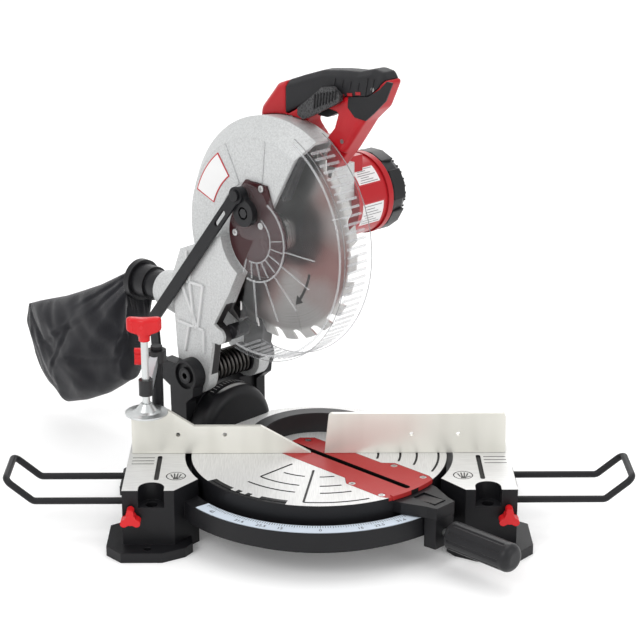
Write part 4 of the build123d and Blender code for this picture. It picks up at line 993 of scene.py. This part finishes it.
class SAW_OT_casting_details(bpy.types.Operator):
    """Cast the head's ribs and steps, and fit the black deflector in its mouth"""

    bl_idname = "mitre_saw.casting_details"
    bl_label = "Casting details"

    def execute(self, context):
        silver, black = silver_casting(settings()), black_casting(settings())
        # painted highlight: the ribs get a lighter copy of the casting's silver, standing in for the light
        # they catch
        rib_painted_highlight = moulded("rib_painted_highlight", (0.62, 0.63, 0.63), 0.36, gloss=0.5)
        soften(make_piece("casting_ribs", self.ribs, "head", rib_painted_highlight), 0.0008)
        make_piece("casting_step", self.step, "head", silver)
        soften(make_piece("stop_bumper", self.bumper, "head", black), 0.0008)
        make_piece("mouth_deflector", self.mouth, "head", black)
        return {"FINISHED"}

    def ribs(self, bm):
        """Thin ribs on the arm's left side that fan out from the chute to the pivot."""
        face = side_matrix(-0.0436)
        bars = (((-0.196, 0.208), (-0.150, 0.206)), ((-0.190, 0.262), (-0.160, 0.206)),
                ((-0.178, 0.300), (-0.166, 0.206)), ((-0.176, 0.206), (-0.184, 0.172)),
                ((-0.160, 0.206), (-0.150, 0.262)), ((-0.150, 0.262), (-0.190, 0.262)),
                ((-0.150, 0.206), (-0.150, 0.178)))
        for start, end in bars:
            add_bar(bm, start, end, 0.0019, -0.0008, 0.0026, face)

    def step(self, bm):
        """The raised sector on the guard's left face, with its two radial edges."""
        face = side_matrix(COVER_SIDE) @ Matrix.Translation((*AXLE, 0))
        arcs = ((0.0660, 0.1150, 84.0, 85.4, 2), (0.0660, 0.1150, 118.0, 119.6, 2),
                (0.0655, 0.0672, 84.4, 119.6, 10), (0.0655, 0.0672, 119.6, 165, 12))
        for arc in arcs:
            add_prism(bm, arc_outline(*arc), -SINK, 0.0008, face)

    def bumper(self, bm):
        """The round rubber stop beside the arm, with its washer and screw head."""
        steps = ((0.0090, -0.0300, -0.0060), (0.0045, -0.0315, -0.0295), (0.0022, -0.0325, -0.0310))
        for radius, near, far in steps:
            place = side_matrix(far) @ Matrix.Translation((-0.1185, 0.2085, 0))
            add_prism(bm, round_outline(radius), 0, far - near, place)

    def mouth(self, bm):
        """A black strip inside the guard's open edge."""
        forward, up = math.cos(math.radians(60)), math.sin(math.radians(60))
        (ax, ay), (bx, by) = [(AXLE[0] + r * forward, AXLE[1] + r * up) for r in (0.060, 0.120)]
        wide = 0.0035
        shape = ((ax, ay), (bx, by), (bx + up * wide, by - forward * wide),
                 (ax + up * wide * 2, ay - forward * wide * 2))
        add_prism(bm, shape, 0, 0.011, side_matrix(-0.0135))


def rounded_copy(node, body, rounds):
    """A CAD piece's shape, remeshed and eased so that its edges are as round as a moulding's."""
    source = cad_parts[node].data
    mesh = source.copy()
    bm = bmesh.new()
    bm.from_mesh(mesh)
    bmesh.ops.remove_doubles(bm, verts=bm.verts, dist=1e-6)
    bm.to_mesh(mesh)
    bm.free()
    piece = new_object(node + "_moulding", mesh)
    remesh = piece.modifiers.new("remesh", "REMESH")
    remesh.mode, remesh.voxel_size = "VOXEL", 0.0013
    ease = piece.modifiers.new("ease", "SMOOTH")
    ease.factor, ease.iterations = 0.5, rounds
    bake_modifiers(piece)
    piece.data.materials.clear()
    piece.data.materials.append(source.materials[0])
    piece.data.shade_smooth()
    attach(piece, body)
    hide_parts(node)
    return piece


class SAW_OT_mouldings(bpy.types.Operator):
    """Round off the handle's shells and the clamp's knob"""

    bl_idname = "mitre_saw.mouldings"
    bl_label = "Mouldings"

    def execute(self, context):
        rounded_copy("handle_body", "head", 14)
        rounded_copy("handle_grip", "head", 14)
        self.taper(rounded_copy("clamp_knob", "clamp_screw_body", 8).data)
        return {"FINISHED"}

    def taper(self, mesh):
        """Thins the knob's wings towards their tips and dips its top in the middle."""
        low = Vector([min(v.co[i] for v in mesh.vertices) for i in range(3)])
        high = Vector([max(v.co[i] for v in mesh.vertices) for i in range(3)])
        middle, half = (low + high) / 2, (high - low) / 2
        bar_height = 0.022
        bar_low = high.z - bar_height
        for vertex in mesh.vertices:
            reach = min(1.0, abs(vertex.co.x - middle.x) / half.x)
            if vertex.co.z > bar_low - 0.0005:
                share = min(1.0, (vertex.co.z - bar_low) / bar_height)
                vertex.co.z += (1 - share) * 0.0065 * reach ** 1.5 - share * 0.0018 * (1 - reach)
                waist = 1.0 - 0.30 * math.sin(math.pi * reach)
                vertex.co.y = middle.y + (vertex.co.y - middle.y) * waist
        mesh.update()


class SAW_OT_handle_details(bpy.types.Operator):
    """Mould the grip's ribs and red windows, and the thumb plate's ribs"""

    bl_idname = "mitre_saw.handle_details"
    bl_label = "Handle details"

    def execute(self, context):
        red = moulded("window_red", (0.30, 0.008, 0.012), 0.3)
        rubber = moulded("rib_rubber", tuple(settings().black), 0.5)
        steel = bright_metal("handle_screw_steel", (0.3, 0.3, 0.3), 0.3, (300, 300, 300))
        make_piece("grip_windows", self.windows, "head", red)
        soften(make_piece("grip_skirt", self.skirt, "head", rubber), 0.0005)
        make_piece("grip_ribs", self.grip_ribs, "head", rubber)
        make_piece("thumb_ribs", self.thumb_ribs, "release", rubber)
        make_piece("handle_screws", self.screws, "head", steel)
        return {"FINISHED"}

    def skirt(self, bm):
        """The grip's rubber where it runs down the handle's front post."""
        shape = ((0.0400, 0.4865), (0.0560, 0.4850), (0.0680, 0.4950), (0.0855, 0.5115), (0.0955, 0.5330),
                 (0.0870, 0.5335), (0.0770, 0.5235), (0.0600, 0.5130), (0.0300, 0.5080), (0.0290, 0.4960))
        add_prism(bm, shape, -0.0020, 0.0009, side_matrix(HANDLE_SIDE))

    def windows(self, bm):
        """Three red windows along the grip's lower edge."""
        for i in range(3):
            x, y = 0.0155 + 0.0125 * i, 0.5075 + 0.0030 * i
            add_bar(bm, (x, y), (x + 0.0078, y + 0.0010), 0.0018, -SINK, 0.0004, side_matrix(HANDLE_SIDE))

    def grip_ribs(self, bm):
        """Four short ribs above the windows, and two longer ones at the grip's front end."""
        ribs = [((0.0075 + 0.0120 * i, 0.5165), (0.0097 + 0.0120 * i, 0.5260)) for i in range(4)]
        ribs += [((0.055 + 0.009 * i, 0.512 + 0.004 * i), (0.059 + 0.009 * i, 0.533)) for i in range(2)]
        for start, end in ribs:
            add_bar(bm, start, end, 0.0007, -SINK, 0.0006, side_matrix(HANDLE_SIDE))

    def thumb_ribs(self, bm):
        """The ribs that the thumb pushes on."""
        for i in range(8):
            x = -0.0150 + i * 0.0046
            start, end = (x, 0.4895 + i * 0.0021), (x + 0.0016, 0.5060 + i * 0.0012)
            add_bar(bm, start, end, 0.0009, -SINK, 0.0010, side_matrix(0.0075))

    def screws(self, bm):
        """Three round screw heads in the handle's left shell."""
        for x, y in ((0.066, 0.5215), (-0.060, 0.4705), (0.020, 0.4560)):
            place = side_matrix(HANDLE_SIDE) @ Matrix.Translation((x, y, 0))
            add_prism(bm, round_outline(0.0026, 16), -SINK, 0.0003, place)


class SAW_OT_motor_details(bpy.types.Operator):
    """Set the faceted vent panels round the motor's cap"""

    bl_idname = "mitre_saw.motor_details"
    bl_label = "Motor details"

    def execute(self, context):
        plastic = moulded("cap_panel_plastic", tuple(settings().black), 0.36)
        panels = make_piece("cap_panels", self.panels, "head", plastic)
        soften(panels, 0.0012)
        panels.data.shade_smooth()
        at_cap = TURN @ Matrix.Translation((MOTOR_AXIS[0], 0.1455, MOTOR_AXIS[1]))
        blocks_round("cap_vents", "head", plastic, at_cap, "black_plastic", Count=30, Radius=0.0405,
                     Start=0.0, Pitch=math.radians(12), Size=(0.0012, 0.0060, 0.0022))
        return {"FINISHED"}

    def panels(self, bm):
        """Six raised panels that make the cap look six-sided."""
        plate = side_matrix(0.140) @ Matrix.Translation((*MOTOR_AXIS, 0))
        for k in range(6):
            middle = 60 * k + 18
            add_prism(bm, arc_outline(0.0440, 0.0492, middle - 22, middle + 22, 2), 0, 0.020, plate)


# ------------------------------------------------------------------ stage
class SAW_OT_stage(bpy.types.Operator):
    """Lay the floor, hang the lights and set the camera"""

    bl_idname = "mitre_saw.stage"
    bl_label = "Stage"

    def execute(self, context):
        scene = context.scene
        floor = mesh_from("floor", self.sweep)
        s = Shader("floor_white", Roughness=0.6, Specular_IOR_Level=0.3, Emission_Strength=0.12)
        s.feed("Base Color", s.mix(s.noise(3, 2), (0.90, 0.90, 0.90), (0.92, 0.92, 0.92)))
        floor.materials.append(s.material)
        floor.shade_smooth()
        new_object("floor", floor)
        self.light("key", (-1.6, -1.8, 2.2), (0, 0, 0.25), 24, 1.4)
        self.light("fill", (2.2, -1.4, 1.4), (0, 0, 0.2), 12, 1.6)
        self.light("top", (0.2, 0.4, 2.8), (0, 0, 0.2), 16, 1.8)
        self.light("back", (0.4, 2.4, 1.6), (0, 0, 0.3), 12, 1.8)
        world = bpy.data.worlds.new("studio")
        world.use_nodes = True
        background = world.node_tree.nodes["Background"]
        background.inputs["Color"].default_value = (1, 1, 1, 1)
        background.inputs["Strength"].default_value = 0.86
        scene.world = world
        scene.view_settings.view_transform = "Standard"
        scene.camera = self.camera()
        return {"FINISHED"}

    def sweep(self, bm):
        """A floor that curves up into a backdrop far behind."""
        profile = [(-6.0, 0.0), (2.5, 0.0), (3.2, 0.08), (3.7, 0.35), (4.0, 0.9), (4.1, 5.0)]
        rows = [[bm.verts.new((x, y, z)) for x in (-8.0, 8.0)] for y, z in profile]
        for a, b in zip(rows, rows[1:]):
            bm.faces.new((a[0], a[1], b[1], b[0]))

    def light(self, name, place, aim, power, size):
        """A round soft light that looks at a point."""
        data = bpy.data.lights.new(name, "AREA")
        data.energy, data.size, data.shape = power, size, "DISK"
        lamp = new_object(name, data)
        lamp.location = place
        lamp.rotation_euler = (Vector(aim) - Vector(place)).to_track_quat("-Z", "Y").to_euler()

    def camera(self):
        """A long lens, high in front of the saw."""
        data = bpy.data.cameras.new("camera")
        data.lens, data.sensor_width = 106.875, 36.0
        data.clip_start, data.clip_end = 0.05, 50
        camera = new_object("camera", data)
        turn, down = math.radians(0.5031), math.radians(18.9164)
        camera.location = (-0.017135, -2.073965, 0.955257)
        aim = Vector((math.sin(turn) * math.cos(down), math.cos(turn) * math.cos(down), -math.sin(down)))
        camera.rotation_euler = aim.to_track_quat("-Z", "Y").to_euler()
        return camera


class SAW_PT_panel(bpy.types.Panel):
    """Lists the saw's finishes and pieces"""

    bl_idname = "SAW_PT_panel"
    bl_label = "Mitre saw"
    bl_space_type = "VIEW_3D"
    bl_region_type = "UI"
    bl_category = "Mitre Saw"

    def draw(self, context):
        column = self.layout.column()
        for name in MitreSawSettings.__annotations__:
            column.prop(settings(), name)
        for operator in OPERATORS:
            column.operator(operator.bl_idname)


OPERATORS = (SAW_OT_castings, SAW_OT_plastics, SAW_OT_metals, SAW_OT_dust_bag, SAW_OT_guard_ribs,
             SAW_OT_mitre_scale, SAW_OT_labels, SAW_OT_casting_details, SAW_OT_mouldings,
             SAW_OT_handle_details, SAW_OT_motor_details, SAW_OT_stage)
CLASSES = (MitreSawSettings, *OPERATORS, SAW_PT_panel)


def register():
    for made in CLASSES:
        bpy.utils.register_class(made)
    bpy.types.Scene.mitre_saw = bpy.props.PointerProperty(type=MitreSawSettings)


def unregister():
    del bpy.types.Scene.mitre_saw
    for made in reversed(CLASSES):
        bpy.utils.unregister_class(made)


def main():
    """Builds every piece in order."""
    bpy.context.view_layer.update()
    register()
    for operator in OPERATORS:
        group, name = operator.bl_idname.split(".")
        getattr(getattr(bpy.ops, group), name)()


if __name__ == "__main__":
    main()
